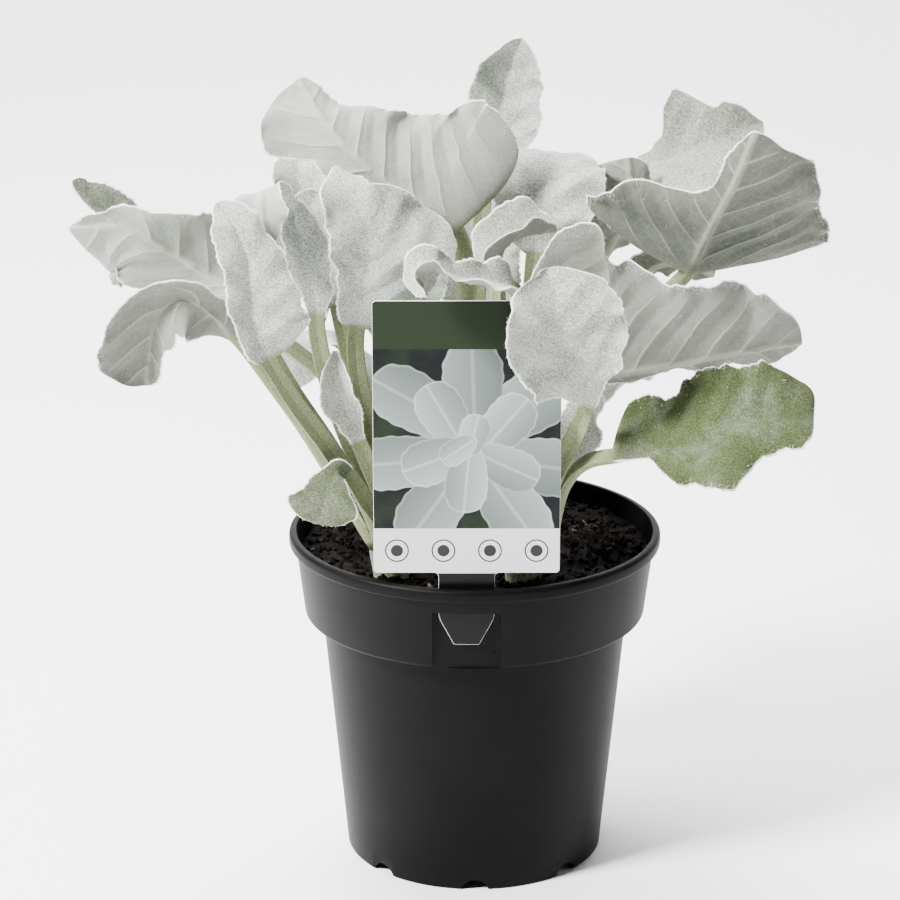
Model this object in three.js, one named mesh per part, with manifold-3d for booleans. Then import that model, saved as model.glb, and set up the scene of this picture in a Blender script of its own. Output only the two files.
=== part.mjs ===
// A silver-leaved bedding plant in its black nursery pot, with a plain care tag in the front rim.
// Millimetres, +Z up. The origin is on the pot's axis at the surface it stands on, and the tag faces -Y.
import * as THREE from "three";
import { mergeVertices } from "three/addons/utils/BufferGeometryUtils.js";
import Module from "manifold-3d";

const wasm = await Module();
wasm.setup();

// Driving dimensions
const GAP = 0.3;
const POT_HEIGHT = 171;
const POT_BASE_RADIUS = 65.5;
const BODY_TOP_RADIUS = 77.5;
const COLLAR_BOTTOM = 128;
const COLLAR_BOTTOM_RADIUS = 86.2;
const COLLAR_TOP = 164;
const COLLAR_TOP_RADIUS = 90.7;
const LIP_RADIUS = 94;
const POT_WALL = 1.6;
const POT_FLOOR = 5;
const POT_SIDES = 36;
const BASE_PAD_RADIUS = 18;
const SOIL_LEVEL = 161;
const TAG_WIDTH = 89;
const TAG_BOTTOM = 178;
const TAG_TOP = 313;
const TAG_CENTRE_X = -4.5;
const TAG_Y = -86;
const TAG_THICKNESS = 0.8;
const TAIL_WIDTH = 27;
const TAIL_TIP = 141;
const RECESS_WIDTH = 33;
const RECESS_BACK_Y = -83;
const RECESS_BOTTOM = 127.5;
const BRIDGE_BOTTOM = 158;
const BLADE_THICKNESS = 1.1;
const RIB_DEPTH = 4.2;

const MATERIALS = {
  pot: { color: 0x17181a, roughness: 0.45, metalness: 0 },
  soil: { color: 0x2b211b, roughness: 1, metalness: 0 },
  felt: { color: 0xc9cfc6, roughness: 0.95, metalness: 0 },
  stem: { color: 0xb4c08e, roughness: 0.8, metalness: 0 },
  tag: { color: 0x4a5b44, roughness: 0.4, metalness: 0 },
};

const plant = new THREE.Group();

function toSolid(geometry) {
  const bare = geometry.clone();
  bare.deleteAttribute("normal");
  bare.deleteAttribute("uv");
  const merged = mergeVertices(bare, 1e-4);
  return new wasm.Manifold(
    new wasm.Mesh({
      numProp: 3,
      vertProperties: new Float32Array(merged.attributes.position.array),
      triVerts: new Uint32Array(merged.index.array),
    })
  );
}

function toGeometry(solid) {
  const mesh = solid.getMesh();
  const geometry = new THREE.BufferGeometry();
  geometry.setAttribute("position", new THREE.BufferAttribute(mesh.vertProperties, 3));
  geometry.setIndex(new THREE.BufferAttribute(mesh.triVerts, 1));
  geometry.computeVertexNormals();
  return geometry;
}

function addPart(name, geometry, look) {
  const mesh = new THREE.Mesh(geometry, new THREE.MeshStandardMaterial(MATERIALS[look]));
  mesh.name = name;
  plant.add(mesh);
  return mesh;
}

// LatheGeometry turns about Y, so the result is stood up on Z.
function lathe(profile, sides) {
  const points = profile.map(([radius, height]) => new THREE.Vector2(radius, height));
  return new THREE.LatheGeometry(points, sides).rotateX(Math.PI / 2);
}

function box(x0, x1, y0, y1, z0, z1) {
  const geometry = new THREE.BoxGeometry(x1 - x0, y1 - y0, z1 - z0);
  return toSolid(geometry.translate((x0 + x1) / 2, (y0 + y1) / 2, (z0 + z1) / 2));
}

// Leaves: each is one closed strip of rings along its midrib. The rings carry a fold at the midrib,
// a curl across each half and a wave that grows towards the margin.
const SECTION = [-1, -0.64, -0.25, 0, 0.25, 0.64, 1];

function mix(values, t) {
  if (typeof values === "number") return values;
  const place = Math.min(Math.max(t, 0), 1) * (values.length - 1);
  const before = Math.min(Math.floor(place), values.length - 2);
  const part = place - before;
  const eased = part * part * (3 - 2 * part);
  return values[before] * (1 - eased) + values[before + 1] * eased;
}

function mixVector(vectors, t) {
  return new THREE.Vector3(...[0, 1, 2].map((axis) => mix(vectors.map((v) => v[axis]), t)));
}

function roundedEnds(t) {
  return Math.sqrt(1 - Math.pow(Math.abs(2 * t - 1), 7));
}

function ringPlaces(blade, steps) {
  const places = [0, blade * 0.36, blade * 0.72, blade * 0.94];
  for (let i = 0; i <= steps; i++) {
    const even = i / steps;
    const eased = (1 - Math.cos(Math.PI * even)) / 2;
    places.push(blade + (1 - blade) * (0.45 * even + 0.55 * eased));
  }
  return places;
}

function leafGeometry(leaf, grow = 0) {
  const { rib, face, blade = 0.5, left, right, fold = [0, 0], curl = [0, 0] } = leaf;
  const { wave = 2, waves = 3, stalk = 4.6, steps = 9 } = leaf;
  const curve = new THREE.CatmullRomCurve3(rib.map((point) => new THREE.Vector3(...point)));
  const vertices = [];
  const places = ringPlaces(blade, steps);
  for (const u of places) {
    const t = Math.max(0, (u - blade) / (1 - blade));
    const centre = curve.getPointAt(u);
    const along = curve.getTangentAt(u);
    const facing = mixVector(face, u);
    facing.addScaledVector(along, -facing.dot(along)).normalize();
    const across = new THREE.Vector3().crossVectors(along, facing);
    const stalkWidth = stalk * (1.15 - 0.35 * Math.min(1, u / blade)) * (1 - 0.85 * t);
    const body = t > 0 ? roundedEnds(Math.min(t, 0.997)) : 0;
    const ribDepth = RIB_DEPTH * (1 - 0.62 * Math.min(1, t * 2.2)) + grow * 2;
    const edgeDepth = BLADE_THICKNESS + 1.2 * Math.max(0, 1 - t * 8) + grow * 2;
    const upper = [];
    const lower = [];
    for (const s of SECTION) {
      const side = s < 0 ? 0 : 1;
      const width = Math.hypot(stalkWidth, mix([left, right][side], t) * body) + grow;
      const strength = Math.min(1, t * 6);
      const lift = THREE.MathUtils.degToRad(mix(fold[side], t) * strength + 12 * (1 - strength));
      const turn = THREE.MathUtils.degToRad(mix(curl[side], t) * strength) + 1e-6;
      const reach = Math.abs(s);
      const angle = lift + turn * reach;
      const out = (width / turn) * (Math.sin(angle) - Math.sin(lift)) * Math.sign(s);
      const ripple = wave * body * Math.min(1, t * 4) * reach * reach;
      const phase = 2 * Math.PI * waves * t + (side ? 0.9 : 0) + rib.length;
      const up = (width / turn) * (Math.cos(lift) - Math.cos(angle)) + ripple * Math.sin(phase);
      const depth = edgeDepth + (ribDepth - edgeDepth) * Math.pow(1 - reach, 1.5);
      const point = centre.clone().addScaledVector(across, out).addScaledVector(facing, up + grow);
      upper.push(point);
      const normal = facing.clone().multiplyScalar(Math.cos(angle));
      normal.addScaledVector(across, -Math.sin(angle) * Math.sign(s));
      lower.push(point.clone().addScaledVector(normal, -depth));
    }
    vertices.push(...upper, ...lower.reverse());
  }
  return closedStrip(vertices, SECTION.length * 2, places.length);
}

// Rings of equal point counts are joined into a closed skin. Both faces are split along the same
// diagonals, because ring point k lies under ring point count - 1 - k.
function closedStrip(vertices, count, rings) {
  const index = [];
  const half = count / 2;
  for (let ring = 0; ring + 1 < rings; ring++) {
    for (let k = 0; k < count; k++) {
      const a = ring * count + k;
      const b = ring * count + ((k + 1) % count);
      const c = a + count;
      const d = b + count;
      if (k < half) index.push(a, b, c, b, d, c);
      else index.push(a, b, d, a, d, c);
    }
  }
  const last = (rings - 1) * count;
  for (let k = 0; k + 1 < half; k++) {
    const under = count - 1 - k;
    index.push(k, under, k + 1, k + 1, under, under - 1);
    index.push(last + k, last + k + 1, last + under, last + k + 1, last + under - 1, last + under);
  }
  const geometry = new THREE.BufferGeometry();
  geometry.setAttribute(
    "position",
    new THREE.Float32BufferAttribute(vertices.flatMap((v) => [v.x, v.y, v.z]), 3)
  );
  geometry.setIndex(index);
  geometry.computeVertexNormals();
  return geometry;
}

// Each midrib runs from its stem to the leaf's tip, and blade is where along it the blade begins. face is
// the way the upper side looks, from foot to tip. left and right are the half-widths from the blade's
// base to its tip, and fold and curl are degrees, for each half, with plus towards the upper side.
const LEAVES = {
  leaf_far_left: {
    stem: "left",
    rib: [
      [-46, -36, 180], [-71, -41, 232], [-92, -42, 262], [-110, -37, 292], [-119, -35, 306],
      [-128, -35, 312], [-137, -38, 319], [-147, -42, 326], [-156, -46, 333], [-167, -47, 338],
      [-177, -46, 339], [-186, -44, 338], [-194, -42, 337],
    ],
    face: [[0.6, 0, 0.8], [0.5, 0.3, 0.8], [0.1, 0.95, 0.35], [0, 0.95, 0.3], [0, 0.95, 0.3]],
    blade: 0.57, left: [42, 46, 39, 27, 15, 9, 5], right: [4, 14, 26, 34, 40, 45, 32],
    fold: [[8, 8], [5, 5]], curl: [[-20, -30], [15, 25]],
  },
  leaf_far_left_back: {
    stem: "back",
    rib: [[-18, 22, 180], [-70, 15, 242], [-114, 8, 280], [-158, 0, 314], [-196, -8, 352]],
    face: [[0.5, -0.2, 0.8], [0.2, -0.6, 0.75], [0.1, -0.7, 0.7]],
    blade: 0.55, left: [14, 18, 16, 10, 5], right: [8, 12, 12, 12, 8], fold: [12, 12], curl: [10, 10],
  },
  leaf_low_left: {
    stem: "left",
    rib: [
      [-49, -46, 178], [-79, -54, 235], [-96, -56, 262], [-107, -61, 280], [-115, -67, 292],
      [-126, -74, 305], [-137, -78, 311], [-147, -77, 307], [-153, -72, 294], [-156, -67, 276],
      [-157, -65, 266],
    ],
    face: [
      [0.7, 0, 0.7], [0.6, -0.1, 0.8], [0.3, 0.2, 0.9], [0, 0.85, 0.5], [-0.3, 0.9, 0.3],
      [-0.4, 0.9, 0],
    ],
    blade: 0.6, left: [8, 10, 16, 27, 29, 22], right: [8, 16, 20, 16, 12, 8],
    fold: [[-5, -10, 0], [-20, -60, -60]], curl: [[-10, -20], [-10, -20]],
  },
  leaf_left_upright: {
    stem: "left",
    rib: [
      [-50, -55, 192], [-69, -65, 231], [-86, -76, 260], [-98, -84, 284], [-103, -88, 298],
      [-105, -90, 314], [-106, -91, 333], [-112, -88, 349], [-120, -81, 359],
    ],
    face: [[0.5, -0.6, 0.5], [0.3, -0.8, 0.4], [0.2, -0.95, 0.2], [0.2, -0.95, 0.1]],
    blade: 0.56, left: [8, 9, 11, 13, 12, 7], right: [22, 26, 23, 17, 12, 7], fold: [22, 22],
    curl: [[-10, -20], [-20, -35]],
    wave: 1,
  },
  leaf_left_curled: {
    stem: "left",
    rib: [
      [-42, -44, 198], [-54, -48, 216], [-64, -50, 240], [-72, -50, 266], [-76, -50, 286],
      [-77, -52, 304], [-81, -53, 323], [-85, -52, 339], [-89, -50, 349], [-94, -53, 357],
      [-99, -60, 359], [-101, -68, 355], [-100, -73, 347], [-96, -74, 337],
    ],
    face: [
      [0.4, -0.7, 0.5], [0.2, -0.9, 0.3], [0, -1, 0.2], [0, -1, 0.1], [0, -0.8, -0.5],
      [0, 0.9, -0.4],
    ],
    blade: 0.5, left: [3, 6, 9, 8, 4, 9, 14, 11], right: [4, 10, 13, 11, 6, 9, 13, 10],
    fold: [[10, 5], [20, 5]], curl: [[0, -30], [0, -30]], steps: 13, wave: 1,
  },
  leaf_centre_left: {
    stem: "left",
    rib: [
      [-37, -33, 192], [-48, -38, 224], [-56, -43, 256], [-58, -47, 280], [-57, -50, 290],
      [-55, -54, 304], [-52, -57, 320], [-51, -58, 335], [-55, -56, 349], [-62, -52, 360],
      [-67, -46, 368],
    ],
    face: [[0.5, -0.8, 0.2], [0.2, -0.9, 0.2], [0, -0.95, 0.2], [0.1, -0.95, 0.2], [0.2, -0.9, 0.2]],
    blade: 0.54, left: [12, 10, 14, 19, 19, 15, 6], right: [10, 26, 36, 42, 28, 11, 4],
    fold: [5, 5], curl: [[15, 15], [-30, -25]],
  },
  leaf_left_back: {
    stem: "back",
    rib: [[-12, 25, 196], [-46, 26, 262], [-78, 16, 314], [-85, 12, 335], [-87, 14, 350], [-88, 22, 361]],
    face: [[0.5, -0.5, 0.6], [0.3, -0.8, 0.4], [0.1, -0.9, 0.4]],
    blade: 0.6, left: [8, 16, 17, 14, 12], right: [8, 18, 22, 20, 16], fold: [10, 10], curl: [20, 20],
  },
  leaf_left_middle: {
    stem: "left",
    rib: [[-42, -30, 200], [-60, -20, 258], [-72, -17, 312], [-78, -15, 334], [-84, -12, 348]],
    face: [[0.5, -0.6, 0.5], [0.2, -0.9, 0.3], [0.1, -0.9, 0.4]],
    blade: 0.62, left: [8, 15, 16, 10], right: [8, 17, 18, 10], fold: [10, 10], curl: [0, 0], steps: 10,
  },
  leaf_top_left: {
    stem: "back",
    rib: [
      [-8, 10, 196], [-7, 2, 250], [-5, -10, 292], [-5, -22, 316], [-8, -30, 330], [-13, -34, 339],
      [-24, -36, 346], [-39, -36, 355], [-54, -36, 367], [-67, -33, 380], [-77, -27, 393],
      [-84, -21, 405],
    ],
    face: [
      [-0.2, -0.9, 0], [-0.8, -0.4, 0], [-0.4, 0.8, 0.2], [-0.1, 0.95, 0.1], [-0.1, 0.95, 0],
      [0, 0.95, 0],
    ],
    blade: 0.58, left: [70, 58, 43, 33, 24, 10, 7], right: [6, 8, 11, 14, 17, 33, 28],
    fold: [[5, 10], [10, 10]], curl: [[10, 20], [-10, -20]], steps: 13,
  },
  leaf_top: {
    stem: "back",
    rib: [[-2, 28, 200], [0, 44, 256], [5, 54, 332], [12, 56, 370], [17, 52, 394], [23, 44, 412]],
    face: [[0, -0.9, 0.3], [0, -0.95, 0.2], [0, -0.95, 0.1]],
    blade: 0.6, left: [8, 15, 19, 16, 9], right: [8, 17, 21, 19, 10], fold: [14, 14],
    curl: [10, 10], wave: 1,
  },
  leaf_centre_right: {
    stem: "right",
    rib: [
      [26, -36, 198], [27, -24, 247], [28, -16, 311], [31, -18, 338], [34, -13, 353], [38, 0, 362],
      [42, 14, 361],
    ],
    face: [[0, -0.9, 0.4], [0, -0.95, 0.2], [0, -0.9, 0.4], [0, -0.3, 0.95]],
    blade: 0.64, left: [10, 20, 25, 23, 12], right: [10, 24, 29, 27, 14], fold: [5, 5], curl: [-10, -10],
  },
  leaf_right_middle: {
    stem: "back",
    rib: [[6, 18, 198], [34, 9, 258], [62, 1, 312], [73, -3, 332], [76, -3, 346], [74, -1, 362]],
    face: [[-0.4, -0.6, 0.6], [-0.3, 0.6, 0.6], [-0.1, 0.95, 0.1]],
    blade: 0.68, left: [4, 8, 10, 10], right: [6, 18, 26, 24], fold: [8, 8], curl: [10, 10], steps: 10,
  },
  leaf_top_right: {
    stem: "back",
    rib: [
      [0, 30, 190], [28, 34, 262], [54, 28, 312], [68, 22, 336], [80, 18, 351], [93, 14, 358],
      [106, 11, 364], [120, 9, 370], [133, 11, 375], [141, 15, 376],
    ],
    face: [[-0.6, -0.2, 0.8], [-0.5, -0.4, 0.8], [-0.3, -0.5, 0.8], [-0.2, -0.6, 0.8]],
    blade: 0.58, left: [4, 4, 5, 9, 31, 14, 4], right: [8, 12, 20, 26, 26, 20, 10],
    fold: [[30, 40], [-10, -20]], curl: [[10, 10], [10, 20]], steps: 14,
  },
  leaf_right: {
    stem: "back",
    rib: [
      [6, 12, 186], [44, -2, 248], [78, -10, 284], [94, -18, 300], [101, -25, 309],
      [105, -32, 318], [110, -44, 334], [116, -56, 351], [122, -66, 368], [126, -73, 382],
      [129, -76, 391],
    ],
    face: [[-0.4, 0, 0.8], [-0.5, 0.2, 0.8], [-0.3, 0.8, 0.5], [0, 0.9, 0.5], [0.1, 0.9, 0.3]],
    blade: 0.64, left: [52, 66, 62, 52, 44, 34, 16], right: [44, 60, 51, 12, 8, 7, 5],
    fold: [[5, 5], [12, 12]], curl: [[15, 20], [10, 20]], steps: 14,
  },
  leaf_right_small: {
    stem: "back",
    rib: [
      [8, 26, 178], [44, 20, 240], [70, 10, 282], [80, 5, 298], [90, 2, 307], [104, 0, 308],
      [118, -1, 303],
    ],
    face: [[-0.6, 0, 0.8], [-0.3, 0.4, 0.8], [0, 0.85, 0.5]],
    blade: 0.68, left: [6, 9, 9, 7], right: [8, 12, 11, 8], fold: [12, 12], curl: [0, 0], steps: 10,
  },
  leaf_right_centre: {
    stem: "right",
    rib: [
      [32, -42, 198], [31, -48, 232], [36, -54, 256], [44, -58, 265], [58, -61, 270], [72, -63, 272],
      [86, -65, 275], [102, -66, 278], [116, -66, 281], [131, -64, 283], [146, -61, 285],
      [155, -58, 285],
    ],
    face: [[-0.6, 0.2, 0.8], [-0.3, 0.9, 0.4], [-0.1, 0.95, 0.25], [0, 0.85, 0.5], [0.2, 0.8, 0.5]],
    blade: 0.38, left: [8, 6, 5, 6, 9, 15, 14], right: [76, 78, 56, 44, 40, 31, 15],
    fold: [5, 5], curl: [[0, 0], [10, 20]], steps: 13,
  },
  leaf_front_right: {
    stem: "right",
    rib: [
      [28, -58, 190], [38, -70, 222], [49, -83, 252], [52, -91, 267], [48, -100, 284],
      [40, -106, 304], [36, -106, 319], [33, -98, 332],
    ],
    face: [
      [-0.2, -0.5, 0.8], [-0.2, -0.7, 0.7], [0, -0.95, 0.3], [0, -1, 0.2], [0, -0.9, 0.5],
      [0, -0.3, 0.9],
    ],
    blade: 0.5, left: [4, 14, 25, 29, 29, 22, 8], right: [4, 7, 20, 28, 29, 25, 12], fold: [5, 5],
    curl: [15, 15],
  },
  leaf_low_right: {
    stem: "right",
    rib: [
      [36, -48, 180], [42, -62, 214], [52, -74, 230], [69, -84, 237], [82, -89, 240],
      [96, -93, 245], [112, -96, 252], [129, -96, 259], [145, -92, 265], [158, -86, 269],
    ],
    face: [[-0.6, -0.2, 0.8], [-0.5, -0.3, 0.8], [-0.2, -0.5, 0.8], [0, -0.6, 0.8], [0.1, -0.7, 0.7]],
    blade: 0.42, left: [38, 32, 27, 34, 31, 24, 14], right: [3, 4, 22, 35, 21, 24, 12],
    fold: [8, 8], curl: [[0, -10], [-10, -20]], steps: 11,
  },
  leaf_right_inner: {
    stem: "right",
    rib: [[32, -36, 180], [42, -35, 208], [49, -36, 229], [55, -38, 244], [62, -42, 252]],
    face: [[-0.6, -0.4, 0.6], [-0.3, -0.6, 0.6], [0.1, -0.6, 0.7]],
    blade: 0.42, left: [6, 11, 11, 6], right: [6, 13, 13, 6], fold: [10, 10], curl: [0, 0],
    steps: 8, wave: 1,
  },
  leaf_back_right_low: {
    stem: "back",
    rib: [[4, 15, 170], [42, 12, 214], [66, 15, 238], [88, 19, 250], [112, 21, 254]],
    face: [[-0.6, 0, 0.8], [-0.2, 0, 0.95], [0.2, 0, 0.95]],
    blade: 0.5, left: [12, 24, 26, 16], right: [10, 17, 18, 14], fold: [10, 10], curl: [0, 0],
  },
  leaf_over_rim: {
    stem: "left",
    rib: [
      [-42, -55, 172], [-52, -65, 204], [-60, -71, 221], [-66, -77, 227], [-70, -82, 221],
      [-73, -84, 210], [-75, -85, 202],
    ],
    face: [[0.5, -0.3, 0.8], [0.2, -0.3, 0.9], [0, -0.6, 0.7], [0, -0.9, 0.2], [0, -0.95, 0.1]],
    blade: 0.6, left: [2, 4, 10, 17, 14], right: [2, 4, 10, 17, 13],
    fold: [10, 10], curl: [-20, -20], steps: 9, wave: 1,
  },
  leaf_back_left_low: {
    stem: "back",
    rib: [[-13, 29, 170], [-42, 40, 212], [-64, 48, 246], [-77, 46, 257], [-86, 38, 250], [-89, 30, 236]],
    face: [[0.5, -0.3, 0.8], [0.3, -0.3, 0.9], [-0.2, 0, 0.9], [-0.7, -0.5, 0.4]],
    blade: 0.5, left: [8, 18, 20, 12], right: [8, 18, 20, 12], fold: [10, 10], curl: [-10, -10],
    steps: 10,
  },
  leaf_bud: {
    stem: "left",
    rib: [
      [-40, -54, 196], [-51, -58, 222], [-60, -60, 244], [-65, -64, 259], [-67, -67, 271],
      [-67, -68, 283],
    ],
    face: [[0.2, -0.9, 0.3], [0, -1, 0.1], [0, -1, 0]],
    blade: 0.45, left: [1, 6, 11, 12, 8], right: [1, 6, 11, 12, 8],
    fold: [[10, 50], [10, 50]], curl: [20, 20], steps: 9, wave: 0,
  },
  leaf_over_tag: {
    stem: "right",
    rib: [
      [14, -50, 198], [14, -56, 240], [16, -63, 280], [19, -70, 303], [20, -77, 314],
      [16, -85, 320], [5, -92, 324], [-7, -98, 327], [-16, -102, 332], [-23, -105, 334],
      [-27, -107, 330], [-24, -109, 321],
    ],
    face: [
      [0, -1, 0.2], [0, -1, 0.1], [0, -0.9, 0.2], [0.1, -0.7, 0.6], [-0.1, -0.4, 0.9],
      [-0.9, -0.3, 0.1],
    ],
    blade: 0.66, left: [12, 15, 16, 13, 10, 11, 8], right: [12, 12, 9, 8, 9, 11, 8],
    fold: [[20, 20], [20, 20]], curl: [[20, 20], [20, 20]],
  },
  leaf_cupped: {
    stem: "right",
    rib: [
      [14, -42, 204], [12, -44, 256], [10, -48, 308], [10, -49, 322], [14, -50, 331],
      [24, -47, 335], [38, -42, 336],
    ],
    face: [[0, -0.9, 0.2], [-0.5, -0.7, 0.3], [-0.4, -0.3, 0.8], [0, -0.2, 0.95]],
    blade: 0.72, left: [8, 16, 17, 8], right: [8, 14, 14, 8], fold: [45, 40], curl: [20, 20],
    steps: 10, wave: 1,
  },
  leaf_inner: {
    stem: "back",
    rib: [[-14, 15, 206], [-23, 0, 262], [-26, -9, 312], [-28, -11, 330]],
    face: [[0, -0.9, 0.2], [0, -0.95, 0.1]],
    blade: 0.66, left: [6, 12, 12, 7], right: [6, 12, 12, 7], fold: [25, 25], curl: [10, 10],
    steps: 8, wave: 1,
  },
  leaf_back_centre: {
    stem: "back",
    rib: [[-10, 29, 186], [-30, 54, 230], [-44, 70, 272], [-57, 75, 286], [-71, 75, 277], [-80, 73, 256]],
    face: [[0.2, -0.5, 0.8], [0, -0.2, 0.9], [-0.7, 0, 0.5]],
    blade: 0.5, left: [8, 20, 22, 12], right: [8, 20, 22, 12], fold: [10, 10], curl: [-10, -10],
    steps: 10,
  },
  leaf_back_tall: {
    stem: "back",
    rib: [[-3, 32, 172], [6, 60, 232], [0, 76, 288], [0, 84, 318], [-4, 84, 340]],
    face: [[0, -0.6, 0.7], [0, -0.7, 0.6], [0.1, -0.9, 0.3]],
    blade: 0.5, left: [8, 24, 28, 14], right: [8, 24, 26, 14], fold: [12, 12], curl: [15, 15], steps: 10,
  },
  leaf_back_right: {
    stem: "back",
    rib: [[1, 32, 168], [30, 56, 222], [56, 70, 262], [78, 76, 278], [98, 78, 272]],
    face: [[-0.5, -0.5, 0.8], [-0.3, -0.3, 0.9], [0.2, 0.2, 0.9]],
    blade: 0.5, left: [8, 24, 28, 14], right: [8, 22, 24, 12], fold: [10, 10], curl: [-10, -10],
    steps: 10,
  },
};

// Three short rooted stems carry the leaves. Each has a foot in the soil and a plain socket for every
// petiole that leaves it.
const STEMS = {
  left: { foot: [-41, -43], radius: 11, top: 208 },
  right: { foot: [24, -46], radius: 11, top: 210 },
  back: { foot: [-5, 20], radius: 12, top: 212 },
};
const STEM_ROOT_DEPTH = 22;
const STEM_SIDES = 12;

function stemSolid({ foot, radius, top }, grow = 0) {
  const low = SOIL_LEVEL - STEM_ROOT_DEPTH - grow;
  const profile = [
    [0, low],
    [radius * 0.7 + grow, low],
    [radius * 0.8 + grow, SOIL_LEVEL],
    [radius + grow, SOIL_LEVEL + 12],
    [radius + grow, top - 12],
    [radius * 0.6 + grow, top - 3],
    [0, top + grow],
  ];
  return toSolid(lathe(profile, STEM_SIDES)).translate(foot[0], foot[1], 0);
}

function makeLeavesAndStems() {
  for (const [name, leaf] of Object.entries(LEAVES)) addPart(name, leafGeometry(leaf), "felt");
  for (const [place, stem] of Object.entries(STEMS)) {
    let solid = stemSolid(stem);
    const own = Object.values(LEAVES).filter((leaf) => leaf.stem === place);
    for (const leaf of own) solid = solid.subtract(toSolid(leafGeometry(leaf, GAP)));
    addPart(`stem_${place}`, toGeometry(solid), "stem");
  }
}

// The pot is one moulded shell: a body, a wider collar, a beaded lip, arched drain notches round the
// foot, drain holes in the floor and a recess in the collar that the tag's tail is pushed into.
const DRAIN_COUNT = 8;
const NOTCH_RADIUS = 7;
const DRAIN_HOLE_RADIUS = 6;
const DRAIN_HOLE_CIRCLE = POT_BASE_RADIUS - 22;
const FOOT_RING_WIDTH = 4;
const HOUSING_TOP = 168;
const SLOT_HALF_WIDTH = TAIL_WIDTH / 2 + GAP;
const SLOT_HALF_DEPTH = TAG_THICKNESS / 2 + GAP;

function potOutside() {
  return lathe(
    [
      [0, 0],
      [POT_BASE_RADIUS - 1.5, 0],
      [POT_BASE_RADIUS, 1.5],
      [BODY_TOP_RADIUS, COLLAR_BOTTOM - 1],
      [COLLAR_BOTTOM_RADIUS - 2.5, COLLAR_BOTTOM - 0.5],
      [COLLAR_BOTTOM_RADIUS, COLLAR_BOTTOM + 2.5],
      [COLLAR_TOP_RADIUS, COLLAR_TOP],
      [LIP_RADIUS - 0.8, COLLAR_TOP + 0.6],
      [LIP_RADIUS, COLLAR_TOP + 3],
      [LIP_RADIUS - 0.6, POT_HEIGHT - 1.2],
      [LIP_RADIUS - 2.4, POT_HEIGHT],
      [0, POT_HEIGHT],
    ],
    POT_SIDES
  );
}

function potInside() {
  return lathe(
    [
      [0, POT_FLOOR + POT_WALL],
      [POT_BASE_RADIUS - POT_WALL - 1.5, POT_FLOOR + POT_WALL],
      [BODY_TOP_RADIUS - POT_WALL, COLLAR_BOTTOM + 1],
      [COLLAR_BOTTOM_RADIUS - POT_WALL - 1.5, COLLAR_BOTTOM + 2],
      [COLLAR_TOP_RADIUS - POT_WALL, COLLAR_TOP],
      [LIP_RADIUS - 4, POT_HEIGHT - 1],
      [LIP_RADIUS - 3.6, POT_HEIGHT + 5],
      [0, POT_HEIGHT + 5],
    ],
    POT_SIDES
  );
}

function housing(grow = 0) {
  const half = RECESS_WIDTH / 2 + POT_WALL + grow;
  const back = RECESS_BACK_Y + POT_WALL + grow;
  const low = COLLAR_BOTTOM - 6 - grow;
  const block = box(TAG_CENTRE_X - half, TAG_CENTRE_X + half, -LIP_RADIUS, back, low, HOUSING_TOP + grow);
  return block.intersect(toSolid(potOutside()));
}

function makePot() {
  let pot = toSolid(potOutside()).subtract(toSolid(potInside())).add(housing());
  const recess = [TAG_CENTRE_X - RECESS_WIDTH / 2, TAG_CENTRE_X + RECESS_WIDTH / 2];
  const slot = [TAG_CENTRE_X - SLOT_HALF_WIDTH, TAG_CENTRE_X + SLOT_HALF_WIDTH];
  pot = pot.subtract(box(...recess, -LIP_RADIUS, RECESS_BACK_Y, RECESS_BOTTOM, BRIDGE_BOTTOM));
  const faces = [TAG_Y - SLOT_HALF_DEPTH, TAG_Y + SLOT_HALF_DEPTH];
  pot = pot.subtract(box(...slot, ...faces, BRIDGE_BOTTOM - 1, POT_HEIGHT + 1));
  const hollow = POT_BASE_RADIUS - FOOT_RING_WIDTH;
  const pad = BASE_PAD_RADIUS;
  const underside = [[pad, -1], [hollow, -1], [hollow, POT_FLOOR], [pad, POT_FLOOR], [pad, -1]];
  pot = pot.subtract(toSolid(lathe(underside, POT_SIDES)));
  for (let k = 0; k < DRAIN_COUNT; k++) {
    const turn = (k / DRAIN_COUNT) * 2 * Math.PI - Math.PI / 2;
    const notch = new THREE.CylinderGeometry(NOTCH_RADIUS, NOTCH_RADIUS, 3 * FOOT_RING_WIDTH, 12);
    notch.rotateZ(Math.PI / 2).translate(POT_BASE_RADIUS, 0, -1.5).rotateZ(turn);
    pot = pot.subtract(toSolid(notch));
    const hole = new THREE.CylinderGeometry(DRAIN_HOLE_RADIUS, DRAIN_HOLE_RADIUS, 20, 8);
    hole.rotateX(Math.PI / 2).translate(DRAIN_HOLE_CIRCLE, 0, POT_FLOOR).rotateZ(turn);
    pot = pot.subtract(toSolid(hole));
  }
  addPart("nursery_pot", toGeometry(pot), "pot");
}

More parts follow.
